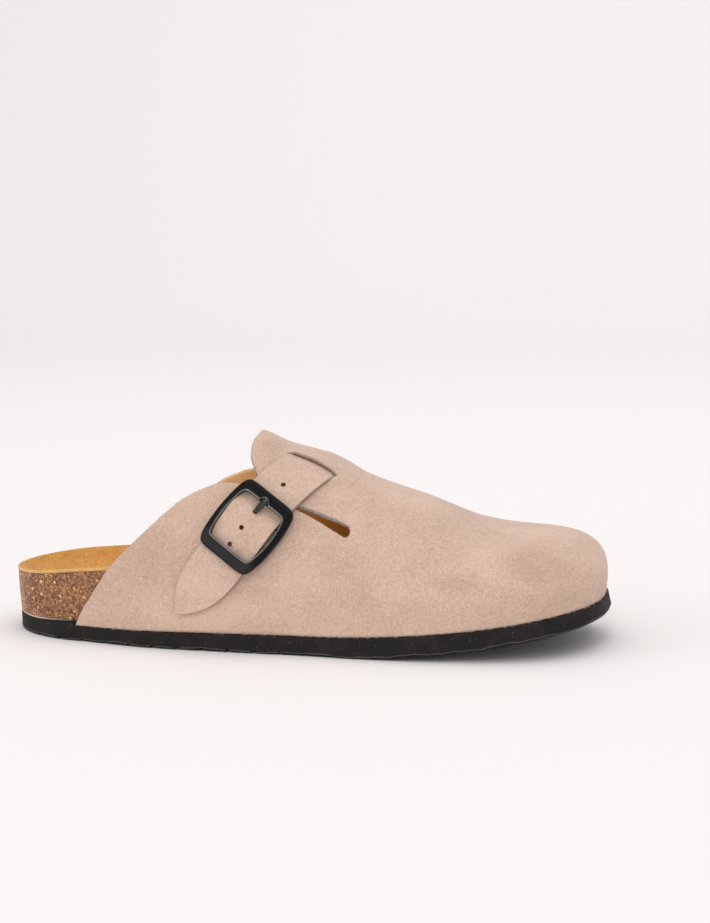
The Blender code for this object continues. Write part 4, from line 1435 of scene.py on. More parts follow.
@dataclass
class Footbed:
    """Cork footbed and the suede insole that lies in its dish."""

    last: Last
    sole: Outsole
    thick: float = 1.5
    bowl_power: float = 3.2
    bare_from: float = 14.0
    bare_to: float = 36.0
    bare_inset: float = 0.6
    bare_foot: float = 1.15
    cover: float = 2.45
    arch_spread: float = 25.0
    pit_depth: float = 0.16
    edge_round: float = 0.28
    top_wave: float = 0.12
    rim_rows: int = 1
    heights: Table = Table(
        ("station", "centre", "lateral", "medial"),
        (
            (0, 18.5, 29.3, 29.3), (35, 17.5, 33.3, 32.0), (70, 19.0, 36.6, 34.8),
            (105, 21.0, 37.0, 38.0), (140, 19.0, 32.0, 36.0), (175, 16.8, 25.0, 28.0),
            (205, 18.0, 23.0, 24.5), (240, 22.5, 26.5, 27.0), (278, 29.0, 33.0, 33.0),
        ),
    )

    def height(self, x: Array, y: Array) -> Array:
        """Height of the insole's top: from the centre's height to the rim's by a power of nearness.

        Args:
            x: Stations.
            y: Places across.

        Returns:
            The height at each place.
        """
        last = self.last
        side = np.where(y < last.swing(x), -1.0, 1.0)
        across = np.abs(y - last.swing(x)) / np.abs(side * last.half_width(x, side) - last.swing(x))
        power = 2 + (last.toe_power - 2) * ramp(x, 100, 200)
        near = np.maximum(last.heel_near(x), last.toe_near(x))
        near = (across**power + near**power) ** (1 / power)
        part = 0.5 + 0.5 * np.clip((y - last.swing(x)) / self.arch_spread, -1, 1)
        lateral = self.heights.read("lateral", x)
        rim = lateral + (self.heights.read("medial", x) - lateral) * part
        centre = self.heights.read("centre", x)
        return centre + (rim - centre) * np.clip(near, 0, 1) ** self.bowl_power

    def inset(self, station: Array) -> Array:
        """Inset of the footbed's wall: bare at the heel, behind the upper's wall farther forward."""
        covered = ramp(station, self.bare_from, self.bare_to)
        return self.bare_inset + (self.cover - self.bare_inset) * covered

    def rim(self, station: Array, side: Side) -> Array:
        """Upper edge of the insole on one side.

        Args:
            station: Stations.
            side: Side of the clog.

        Returns:
            The edge's points.
        """
        sign = side.value * np.ones_like(station)
        height = self.height(station, self.last.edge(station, side.value))
        return self.last.wall_point(station, sign, height, self.inset(station))

    def stations(self) -> Array:
        """Stations of the footbed, close together where the cork is bare.

        Returns:
            The stations in order.
        """
        last = self.last
        bare = np.concatenate([last.heel_stations(84), np.arange(35.6, 50, 0.6)])
        return np.concatenate([bare, np.arange(50, last.toe_round, 2.5), last.toe_stations(44)])

    def top(self, count: int) -> list[Array]:
        """Rows of points over the insole's top, from the lateral rim to the medial one.

        Args:
            count: Number of rows.

        Returns:
            The rows, each along the clog.
        """
        s = self.stations()
        left, right = self.rim(s, Side.LATERAL), self.rim(s, Side.MEDIAL)
        rows = []
        for part in np.linspace(0, 1, count):
            point = left * (1 - part) + right * part
            if 0 < part < 1:
                point[:, 2] = self.height(point[:, 0], point[:, 1])
            rows.append(point)
        return rows

    def pitted(self, points: Array, side: Side, s: Array) -> Array:
        """Wall points moved in by the cork's pits: the low parts of two random fields.

        Args:
            points: Points of the wall.
            side: Side of the clog.
            s: Their stations.

        Returns:
            The moved points.
        """
        low = np.minimum(grain(points, 2.2, 11) + 0.6 * grain(points, 0.9, 12), 0.2) - 0.2
        out = self.last.outward(s, side.value)
        moved = points.copy()
        moved[:, :2] += out * (self.pit_depth * low)[:, None]
        return moved

    def build_cork(self) -> None:
        """Build and dress the cork: a pitted wall up to the insole and a plain dish under it."""
        last, s = self.last, self.stations()
        under = [row - np.array([0, 0, self.thick + last.gap]) for row in self.top(17)]
        base = last.sole_top(s) + 0.5 * last.gap - self.sole.heel_drop.read("drop", s)
        walls = []
        for side, rim in ((Side.LATERAL, under[0]), (Side.MEDIAL, under[-1])):
            sign = side.value * np.ones_like(s)
            rows = []
            for share in np.linspace(0, 1, 40)[:-1]:
                foot = self.bare_foot * (1 - share) * (1 - ramp(s, self.bare_from, self.bare_to))
                point = last.wall_point(s, sign, base + (rim[:, 2] - base) * share, self.inset(s) - foot)
                rows.append(self.pitted(point, side, s))
            walls.append(rows)
        rings = np.stack(walls[0] + under + walls[1][::-1], 1)
        piece = loft("cork_bed", last.world(rings))
        settle(piece, [Node.CORK], [BOUND_CORK.material()])

    def build_insole(self) -> None:
        """Build and dress the insole: a napped top, rounded edges and an even thickness."""
        last, s = self.last, self.stations()
        top = self.top(73)
        edges = []
        turns = np.linspace(0, np.pi, 9)[1:-1]
        for side, rim in ((Side.LATERAL, top[0]), (Side.MEDIAL, top[-1])):
            out = last.outward(s, side.value)
            rows = []
            for turn in turns:
                point = rim.copy()
                point[:, :2] += out * (self.edge_round * np.sin(turn))
                point[:, 2] += 0.5 * self.thick * (np.cos(turn) - 1)
                rows.append(point)
            edges.append(rows)
        low = [row - np.array([0, 0, self.thick]) for row in self.top(17)]
        for row in top[1:-1]:
            row[:, 2] += self.top_wave * grain(row, 9.0, 21)
        rings = np.stack(top + edges[1] + low[::-1] + edges[0][::-1], 1)
        bands = np.zeros(rings.shape[1], int)
        bands[:self.rim_rows] = 1
        bands[len(top) - 1:len(top) + len(turns)] = 1
        bands[-len(turns) - 1:] = 1
        piece = loft("insole_suede", last.world(rings), bands=bands)
        settle(piece, [Node.INSOLE], [INSOLE_SUEDE.material(), INSOLE_EDGE.material()])

    def build(self) -> None:
        """Build and dress cork and insole."""
        self.build_cork()
        self.build_insole()


# Upper


@dataclass(frozen=True)
class Crease:
    """Soft trough or ridge along a line of stations and girths."""

    places: tuple[Pair, ...]
    width: float
    height: float
    girth_length: float = 76.0

    def rise(self, station: Array, girth: Array) -> Array:
        """Height times a bell of the distance to the line, which fades toward the line's ends.

        Args:
            station: Stations.
            girth: Girths.

        Returns:
            The rise at each place.
        """
        x, y = station, girth * self.girth_length
        line = np.array(self.places) * np.array([1.0, self.girth_length])
        total = np.zeros(np.shape(x))
        steps = len(line) - 1
        for number, (a, b) in enumerate(zip(line, line[1:])):
            d = b - a
            t = np.clip(((x - a[0]) * d[0] + (y - a[1]) * d[1]) / (d @ d), 0, 1)
            far = np.hypot(x - a[0] - t * d[0], y - a[1] - t * d[1])
            along = (number + t) / steps
            fade = ramp(along, 0.0, 0.3) * (1 - ramp(along, 0.7, 1.0))
            total = np.maximum(total, fade * np.exp(-((far / self.width) ** 2)))
        return self.height * total


@dataclass
class Upper:
    """Suede upper cut from one sheet: quarters, slotted flap and vamp, with a tan lined inside."""

    last: Last
    sole: Outsole
    wall: float = 1.9
    quarter_rear: float = 37.4
    medial_drop: float = 0.02
    slit_end: float = 165.0
    slit_nose: float = 2.6
    nose_fade: float = 14.0
    slot_middle: float = 144.85
    slot_half: float = 12.05
    slot_place: float = 0.194
    slot_slope: float = 0.0024
    slot_bow: float = 0.02
    slot_power: int = 24
    slot_cut: float = 0.006
    slot_skew: float = 50.0
    lip_rise: float = 2.4
    lip_drop: float = 2.2
    lip_fade: float = 0.1
    lip_curl: float = 1.15
    lip_thin: float = 0.22
    curl_reach: float = 0.055
    hump_front: Pair = (0.3, 1.7)
    hump_rear: Pair = (-0.6, 1.35)
    corner_front: Pair = (0.842, 2.0)
    corner_rear: Pair = (0.7, 1.15)
    medial_rear: Pair = (0.3, 1.75)
    corner_reach: float = 0.09
    mouth_rear: float = 0.9
    skive: float = 0.012
    even_from: float = 225.0
    fuzz_per_mm: float = 7.0
    fuzz_length: float = 0.8
    quarter_rows: int = 50
    nose_rows: int = 10
    lip_rows: int = 26
    crown_rows: int = 18
    quarter_top: Table = Table(
        ("station", "girth"),
        (
            (37.4, 0.997), (40.9, 0.958), (45.5, 0.92), (54.7, 0.828), (67, 0.735), (80.5, 0.63),
            (90.5, 0.552), (100.5, 0.50), (107, 0.475), (114, 0.468), (122, 0.473), (142.5, 0.497),
            (150, 0.514), (158, 0.539), (165, 0.564),
        ),
    )
    flap_lower: Table = Table(
        ("station", "girth"),
        ((118, 0.462), (143, 0.469), (153, 0.472), (162, 0.482), (165, 0.488)),
    )
    flap_rear: Table = Table(
        ("girth", "reach"),
        (
            (0.0, 119.2), (0.05, 119.1), (0.1, 118.8), (0.185, 118.2), (0.257, 118.5),
            (0.32, 119.5), (0.362, 121.5), (0.402, 124.0), (0.435, 129.0), (0.47, 140.0),
        ),
    )
    creases: tuple[Crease, ...] = (
        Crease(
            ((206.0, 0.05), (214.5, -0.097), (219.5, -0.184), (225.4, -0.251), (233.0, -0.305)),
            1.1, -0.8,
        ),
        Crease(((208.0, 0.02), (216.0, -0.10), (221.0, -0.19), (227.5, -0.27)), 2.0, 0.42),
        Crease(((211.0, 0.06), (222.5, -0.097), (229.4, -0.17), (240.0, -0.215)), 1.0, -0.7),
        Crease(((205.0, 0.05), (213.0, 0.13), (222.0, 0.22), (231.0, 0.28)), 1.5, -0.4),
        Crease(
            ((224.0, -0.60), (236.0, -0.46), (246.0, -0.37), (260.0, -0.29), (274.0, -0.25)),
            6.0, 0.9,
        ),
        Crease(((232.0, -0.66), (246.0, -0.55), (260.0, -0.47), (274.0, -0.44)), 9.0, -0.8),
        Crease(((196.0, -0.62), (210.0, -0.66), (226.0, -0.70), (244.0, -0.74)), 9.0, -0.5),
        Crease(((228.0, -0.08), (240.0, -0.16), (252.0, -0.20)), 6.0, -0.5),
    )

    def slot_girth(self, station: Array) -> Array:
        """Girth of the strap's slot in the flap: a slanted line that bows toward the ridge.

        Args:
            station: Stations.

        Returns:
            The girth at each station.
        """
        past = np.clip(station - self.slot_middle, -13, 14)
        bow = self.slot_bow * np.clip(1 - (past / self.slot_half) ** 2, 0, 1)
        return self.slot_place + self.slot_slope * past - bow

    def lift(self, station: Array, girth: Array, below: bool) -> Array:
        """Rise of the flap over the strap, curl of the slot's upper lip and dip of its lower one.

        Args:
            station: Stations.
            girth: Girths.
            below: Whether the places are below the slot.

        Returns:
            The rise over the last at each place.
        """
        over = np.abs(girth) - self.slot_girth(station)
        past = np.clip(over, 0, self.lip_fade)
        along = (station - self.slot_middle + self.slot_skew * past) / self.slot_half
        near = np.exp(-((over / self.corner_reach) ** 2))
        corner = np.where(girth < 0, ramp(-along, *self.corner_rear), ramp(-along, *self.medial_rear))
        rear = ramp(-along, *self.hump_rear) * (1 - near) + corner * near
        front = ramp(along, *self.hump_front) * (1 - near) + ramp(along, *self.corner_front) * near
        hump = (1 - front) * (1 - rear)
        inside = np.clip(np.abs(along), 0, 1)
        if below:
            mouth = np.clip(np.maximum(along, -along / self.mouth_rear), 0, 1) ** self.slot_power
            rise = self.lip_rise * hump - (self.lip_rise + self.lip_drop) * (1 - mouth)
        else:
            curl = self.lip_curl * (1 - inside**6) * np.exp(-((over / self.curl_reach) ** 2))
            rise = (self.lip_rise + curl * (girth < 0)) * hump
        return rise * 0.5 * (1 + np.cos(np.pi * past / self.lip_fade))

    def relief(self, point: Array, station: Array, girth: Array) -> Array:
        """Creases and a slight waviness of the hide, which fade out toward the sole's edge.

        The creases also fade toward the tip of the toe, where both sides have to meet.

        Args:
            point: Points of the last.
            station: Their stations.
            girth: Their girths.

        Returns:
            The rise at each point.
        """
        total = sum(crease.rise(station, girth) for crease in self.creases)
        total = total * (1 - ramp(station, 272.0, 277.0))
        total = total + 0.16 * grain(point, 17.0, 31) + 0.05 * grain(point, 5.0, 32)
        return total * (1 - ramp(np.abs(girth), 0.9, 0.99))

    def faces(self, station: Array, girth: Array, below: bool,
              thin: Union[Array, float] = 0.0) -> tuple[Array, Array]:
        """Outer and inner points: the last moved out by lift and relief, and in by the wall.

        Args:
            station: Stations of a grid.
            girth: Girths of the grid.
            below: Whether the grid is the strip below the strap's slot.
            thin: Share of the wall that is pared off from inside.

        Returns:
            The points of the outer and of the inner face.
        """
        point, normal = self.last.point(station, girth), self.last.normal(station, girth)
        rise = (self.lift(station, girth, below) + self.relief(point, station, girth))[..., None]
        sink = self.sole.drop(station) * ramp(np.abs(girth), 0.9, 1.0)
        point = point - sink[..., None] * np.array([0, 0, 1.0])
        wall = self.wall * (1 - np.asarray(thin))[..., None]
        return point + normal * rise, point + normal * (rise - wall)

    def quarter(self, side: Side) -> tuple[Array, Array]:
        """Grid of one quarter, from the sole's edge to its top edge.

        Args:
            side: Side of the clog.

        Returns:
            The points of the outer and of the inner face.
        """
        s = np.linspace(self.quarter_rear, self.slit_end, 128)
        top = self.quarter_top.read("girth", s)
        if side is Side.MEDIAL:
            top = top + self.medial_drop * ramp(s, 60, 95) * (1 - ramp(s, 112, 140))
        girth = 1 + (top[:, None] - 1) * np.linspace(0, 1, self.quarter_rows)[None, :]
        return self.faces(np.broadcast_to(s[:, None], girth.shape), side.value * girth, False)

    def flap_columns(self) -> Array:
        """Columns of the flap as stations at the slot, closest at the slot's ends.

        Returns:
            The stations in order.
        """
        lips = self.slot_middle + self.slot_half * dense_ends(47)
        rear = np.linspace(118.5, lips[0], 14)[:-1]
        front = np.linspace(lips[-1], self.slit_end, 10)[1:]
        return np.concatenate([rear, lips, front])

    def flap(self, side: Side, start: Callable[[Array], Array], end: Callable[[Array], Array],
             rows: int, below: bool) -> tuple[Array, Array]:
        """Grid of one strip of the flap between two girths that change along the stations.

        Args:
            side: Side of the clog.
            start: Girth of the strip's first edge.
            end: Girth of its second edge.
            rows: Points across the strip.
            below: Whether the strip ends at the slot's lower lip.

        Returns:
            The points of the outer and of the inner face.
        """
        columns = self.flap_columns()[:, None]
        share = np.linspace(0, 1, rows)[None, :]
        parts = (columns - columns[0]) / (self.slit_end - columns[0])
        window = ramp(parts, 0.0, 0.28) * (1 - ramp(parts, 0.84, 1.0))
        place = columns + 0 * share
        for _ in range(8):
            girth = start(place) + (end(place) - start(place)) * share
            rear = self.flap_rear.read("reach", girth)
            past = np.clip(girth - self.slot_girth(place), 0, self.lip_fade)
            place = rear + (self.slit_end - rear) * parts - self.slot_skew * past * window
        girth = start(place) + (end(place) - start(place)) * share
        if not below:
            along = np.clip(np.abs((place - self.slot_middle) / self.slot_half), 0, 1)
            thin = self.lip_thin * (1 - share) ** 4 * (1 - along**6)
            return self.faces(place, side.value * girth, below, thin)
        along = np.clip(np.abs((place[:, -1] - self.slot_middle) / self.slot_half), 0, 1)
        girth[:, -1] += self.slot_cut * (1 - along**self.slot_power)
        slant = self.skive * (1 - share) ** 6 * (1 - 0.5 * ramp(parts, 0.85, 1.0))
        inner = self.faces(place, side.value * (girth + slant), below)[1]
        return self.faces(place, side.value * girth, below)[0], inner

    def vamp(self, side: Side) -> tuple[Array, Array]:
        """Grid of one side of the vamp; its rear column carries quarter, slit's nose and flap.

        Args:
            side: Side of the clog.

        Returns:
            The points of the outer and of the inner face.
        """
        last = self.last
        s = np.concatenate([np.linspace(self.slit_end, last.toe_round, 46)[:-1], last.toe_stations(56)])
        low = float(self.quarter_top.read("girth", self.slit_end))
        high = float(self.flap_lower.read("girth", self.slit_end))
        bounds = [1.0, low, high, float(self.slot_girth(self.slit_end)), 0.0]
        counts = (self.quarter_rows, self.nose_rows, self.lip_rows, self.crown_rows)
        strips = [np.linspace(a, b, n)[:-1] for a, b, n in zip(bounds, bounds[1:], counts)]
        girths = np.append(np.concatenate(strips), 0.0)
        even = np.linspace(1, 0, len(girths))
        calm = ramp(s, self.slit_end, self.even_from)[:, None]
        girth = girths[None, :] * (1 - calm) + even[None, :] * calm
        middle = np.clip(2 * (girths - high) / (low - high) - 1, -1, 1)
        nose = self.slit_nose * np.sqrt(1 - middle**2)
        fade = 1 - np.clip((s - self.slit_end) / self.nose_fade, 0, 1)
        station = s[:, None] + nose[None, :] * fade[:, None]
        return self.faces(station, side.value * girth, False)

    def build(self) -> None:
        """Build and dress the upper: suede outside, tan lining inside, bare hide at the cut edges."""
        grids = []
        for side in Side:
            grids.append(self.quarter(side))
            grids.append(self.flap(side, lambda s: self.flap_lower.read("girth", s), self.slot_girth,
                                   self.lip_rows, True))
            grids.append(self.flap(side, self.slot_girth, lambda s: 0 * s, self.crown_rows, False))
            grids.append(self.vamp(side))
        sheet = Sheet.join(grids, bulge=0.3, fray=0.12)
        piece = sheet.solid("upper_suede_sheet", self.last)
        skins = [UPPER_SUEDE.material(), LINING.material(), CUT_EDGE.material()]
        settle(piece, [Node.UPPER], skins)
        fuzz = sheet.fibres("upper_edge_fuzz", self.last, self.fuzz_per_mm, self.fuzz_length)
        settle(fuzz, [Node.UPPER], [EDGE_FUZZ.material()])


# Strap


@dataclass
class Strap:
    """Suede strap: sewn on the medial quarter, then under the flap and through the buckle."""

    last: Last
    upper: Upper
    width: float = 23.2
    aside: float = 0.5
    thick: float = 1.8
    tip: float = 33.0
    depth: float = -1.6
    dive_past: float = 0.09
    hole_radius: float = 1.12
    hole_pitch: float = 8.8
    hole_count: int = 5
    hole_first: float = 8.1
    buckle_girth: float = -0.644
    top_wave: float = 0.08
    stitch_inset: float = 2.4
    stitch_pitch: float = 2.9
    stitch_reach: float = 17.0
    stitch_half: float = 1.12
    stitch_radius: float = 0.34
    stitch_flat: float = 0.72
    stitch_arch: float = 0.12
    path: Table = Table(
        ("girth", "place"),
        (
            (-0.946, 89.3), (-0.768, 110.0), (-0.714, 114.5), (-0.649, 119.6), (-0.577, 124.8),
            (-0.417, 134.3), (-0.266, 141.5), (-0.197, 144.3), (0.0, 145.2), (0.197, 144.3),
            (0.266, 141.5), (0.417, 134.3), (0.577, 124.8), (0.72, 114.0),
        ),
    )
    lifts: Table = Table(
        ("run", "lift"),
        (
            (-34.0, 0.45), (-27.0, 0.45), (-18.4, 0.75), (-15.5, 0.7), (-12.8, 0.55), (-6.0, 1.6),
            (1.0, 2.6), (7.2, 3.0), (9.6, 2.1), (12.0, 0.8), (15.5, 0.9), (19.0, 0.9), (27.0, 0.5),
            (33.0, 0.4), (38.0, 0.0),
        ),
    )

    def __post_init__(self) -> None:
        """Walk along the strap's middle line once: girth, station, point and length from the buckle."""
        self.girths = np.linspace(self.path.rows[0][0], self.path.rows[-1][0], 1201)
        self.places = self.path.read("place", self.girths)
        self.points = self.last.point(self.places, self.girths)
        steps = np.linalg.norm(np.diff(self.points, axis=0), axis=1)
        run = np.concatenate([[0], np.cumsum(steps)])
        self.runs = run - np.interp(self.buckle_girth, self.girths, run)

    def middle(self, run: Array) -> Array:
        """Point of the middle line on the last."""
        return np.stack([np.interp(run, self.runs, self.points[:, k]) for k in range(3)], -1)

    def lift(self, girth: Array, station: Array, run: Array) -> Array:
        """Height of the underside: it dives under the flap and climbs over the buckle's hinge bar.

        Args:
            girth: Girths.
            station: Stations.
            run: Lengths along the strap from the buckle's middle.

        Returns:
            The height over the last at each place.
        """
        fade = np.abs(girth) - self.upper.slot_girth(station) + self.dive_past
        fade = fade / (0.8 * self.upper.lip_fade + self.dive_past)
        dive = 0.5 * (1 + np.cos(np.pi * np.clip(fade, 0, 1)))
        gap = self.last.gap
        return gap + (self.depth - gap) * dive + self.lifts.read("lift", run)

    def point(self, run: Array, across: Array, height: Array) -> Array:
        """Point of the strap: a step across in the last's two surface directions, then out.

        Args:
            run: Lengths along the strap from the buckle's middle.
            across: Distances from its middle line.
            height: Heights over its underside.

        Returns:
            The points.
        """
        last = self.last
        run, across = np.broadcast_arrays(np.asarray(run, float), np.asarray(across, float))
        girth = np.interp(run, self.runs, self.girths)
        station = np.interp(run, self.runs, self.places)
        along = unit(self.middle(run + 0.5) - self.middle(run - 0.5))
        cross = unit(np.cross(along, last.normal(station, girth)))
        by_station = last.point(station + 0.5, girth) - last.point(station - 0.5, girth)
        by_girth = (last.point(station, girth + 0.002) - last.point(station, girth - 0.002)) / 0.004
        aa, bb = np.sum(by_station**2, -1), np.sum(by_girth**2, -1)
        ab = np.sum(by_station * by_girth, -1)
        ac, bc = np.sum(by_station * cross, -1), np.sum(by_girth * cross, -1)
        area = aa * bb - ab * ab
        station = station + across * (ac * bb - bc * ab) / area
        girth = np.clip(girth + across * (bc * aa - ac * ab) / area, -1, 1)
        lift = self.lift(girth, station, run) + height
        return last.point(station, girth) + last.normal(station, girth) * lift[..., None]

    def half(self, run: Array) -> Array:
        """Half width: full along the strap, rounded off to a point at the tip."""
        part = np.clip((self.runs[0] + self.tip - run) / self.tip, 0, 1)
        return np.maximum(0.5 * self.width * (1 - part**3.0) ** 0.93, 0.2)

    def strip(self) -> Sheet:
        """Sheet of the strap, with its rows closer together at the tip.

        Returns:
            The sheet.
        """
        start, end = self.runs[0], self.runs[-1]
        tip = start + self.tip * (1 - np.cos(np.linspace(0, np.pi / 2, 36))) * 0.999
        run = np.concatenate([tip, np.arange(start + self.tip + 0.6, end, 0.62), [end]])[:, None]
        share = np.sin(0.5 * np.pi * np.linspace(-1, 1, 33))[None, :]
        across = self.aside + self.half(run) * (0.35 * share + 0.65 * np.linspace(-1, 1, 33)[None, :])
        grain_at = np.stack(np.broadcast_arrays(run, across, 0 * run), -1)
        crown = self.top_wave * grain(grain_at, 6.0, 41)
        top = self.point(run, across, self.thick + crown)
        return Sheet.join([(top, self.point(run, across, 0.0))], bulge=0.22, fray=0.08)

    def punch(self, piece: Piece) -> None:
        """Cut the holes through the strap with round tools and keep the cut mesh.

        Args:
            piece: The strap, whose mesh is replaced.
        """
        tools = []
        for k in range(self.hole_count):
            run = np.array([self.hole_first + self.hole_pitch * (k - self.hole_count // 2)])
            low, high = self.point(run, 0.0, 0.0)[0], self.point(run, 0.0, self.thick)[0]
            tools.append(self.hole_tool(f"hole_tool_{k}", low, high))
        for tool in tools:
            cut = piece.modifiers.new(tool.name, "BOOLEAN")
            cut.operation = "DIFFERENCE"
            cut.object = tool
            cut.solver = "EXACT"
        graph = bpy.context.evaluated_depsgraph_get()
        made = bpy.data.meshes.new_from_object(piece.evaluated_get(graph))
        piece.modifiers.clear()
        piece.data = made
        for tool in tools:
            bpy.data.objects.remove(tool, do_unlink=True)

    def hole_tool(self, name: str, low: Array, high: Array) -> Piece:
        """Round tool from under the strap to above it: two rings round its axis.

        Args:
            name: Name of the tool.
            low: Point under the strap.
            high: Point on its top.

        Returns:
            The tool, with the material number of the holes' walls, which are painted shade, on its faces.
        """
        axis = unit(high - low)
        side = unit(np.cross(axis, np.array([0.0, 0.0, 1.0])))
        turn = np.linspace(0, 2 * np.pi, 28, endpoint=False)[:, None]
        ring = self.hole_radius * (np.cos(turn) * side + np.sin(turn) * np.cross(axis, side))
        rings = np.stack([low - axis + ring, high + axis + ring])
        tool = loft(name, self.last.world(rings), caps=True)
        tool.data.polygons.foreach_set("material_index", np.full(len(tool.data.polygons), 3, np.int32))
        return tool

    def stitch_line(self) -> tuple[Array, Array]:
        """Middles and directions of the stitches: even steps along a box at the sewn end.

        Returns:
            Lengths along and across the strap for each stitch, and its direction in them.
        """
        end = self.runs[-1]
        half = 0.5 * self.width - self.stitch_inset
        near, far = end - self.stitch_reach, end - self.stitch_inset
        low, high = self.aside - half, self.aside + half
        corners = np.array([[near, low], [far, low], [far, high], [near, high], [near, low]])
        middles, ways = [], []
        for a, b in zip(corners, corners[1:]):
            count = int(round(np.linalg.norm(b - a) / self.stitch_pitch))
            share = (np.arange(count) + 0.5)[:, None] / count
            middles.append(a + (b - a) * share)
            ways.append(np.repeat(unit(b - a)[None, :], count, 0))
        return np.concatenate(middles), np.concatenate(ways)

    def build_stitches(self) -> None:
        """Build and dress the stitches: flattened spindles that lie on the strap."""
        spots, ways = self.stitch_line()
        centre = self.point(spots[:, 0], spots[:, 1], self.thick)
        ahead = self.point(spots[:, 0] + 0.3 * ways[:, 0], spots[:, 1] + 0.3 * ways[:, 1], self.thick)
        over = self.point(spots[:, 0], spots[:, 1], self.thick + 1.0)
        along, out = unit(ahead - centre), unit(over - centre)
        across = np.cross(out, along)
        rows, columns = 9, 10
        u = np.linspace(-1, 1, rows)[:, None]
        v = np.linspace(0, 2 * np.pi, columns, endpoint=False)[None, :]
        girth = self.stitch_radius * np.sqrt(np.clip(1 - np.abs(u) ** 2.4, 0, 1))
        x, y = self.stitch_half * u + 0 * v, girth * np.cos(v)
        z = self.stitch_flat * girth * np.sin(v) + self.stitch_arch * (1 - u**2)
        local = np.stack(np.broadcast_arrays(x, y, z), -1).reshape(-1, 3)
        axes = np.stack([along, across, out], 1)
        points = centre[:, None, :] + np.einsum("pk,nkc->npc", local, axes)
        quads = grid_quads(rows, columns, closed=True)
        first = rows * columns * np.arange(len(centre))
        faces = (quads[None, :, :] + first[:, None, None]).reshape(-1, 4)
        piece = mesh_object("strap_stitches", self.last.world(points.reshape(-1, 3)), faces.tolist())
        settle(piece, [Node.STRAP], [THREAD.material()])

    def build(self) -> None:
        """Build and dress the strap and its stitches."""
        piece = self.strip().solid("strap_suede_strip", self.last)
        # The fourth material paints shade on the holes' walls
        for material in (STRAP_SUEDE, STRAP_SUEDE, STRAP_EDGE, HOLE_WALL_SHADE):
            piece.data.materials.append(material.material())
        self.punch(piece)
        settle(piece, [Node.STRAP], [])
        self.build_stitches()


# Buckle


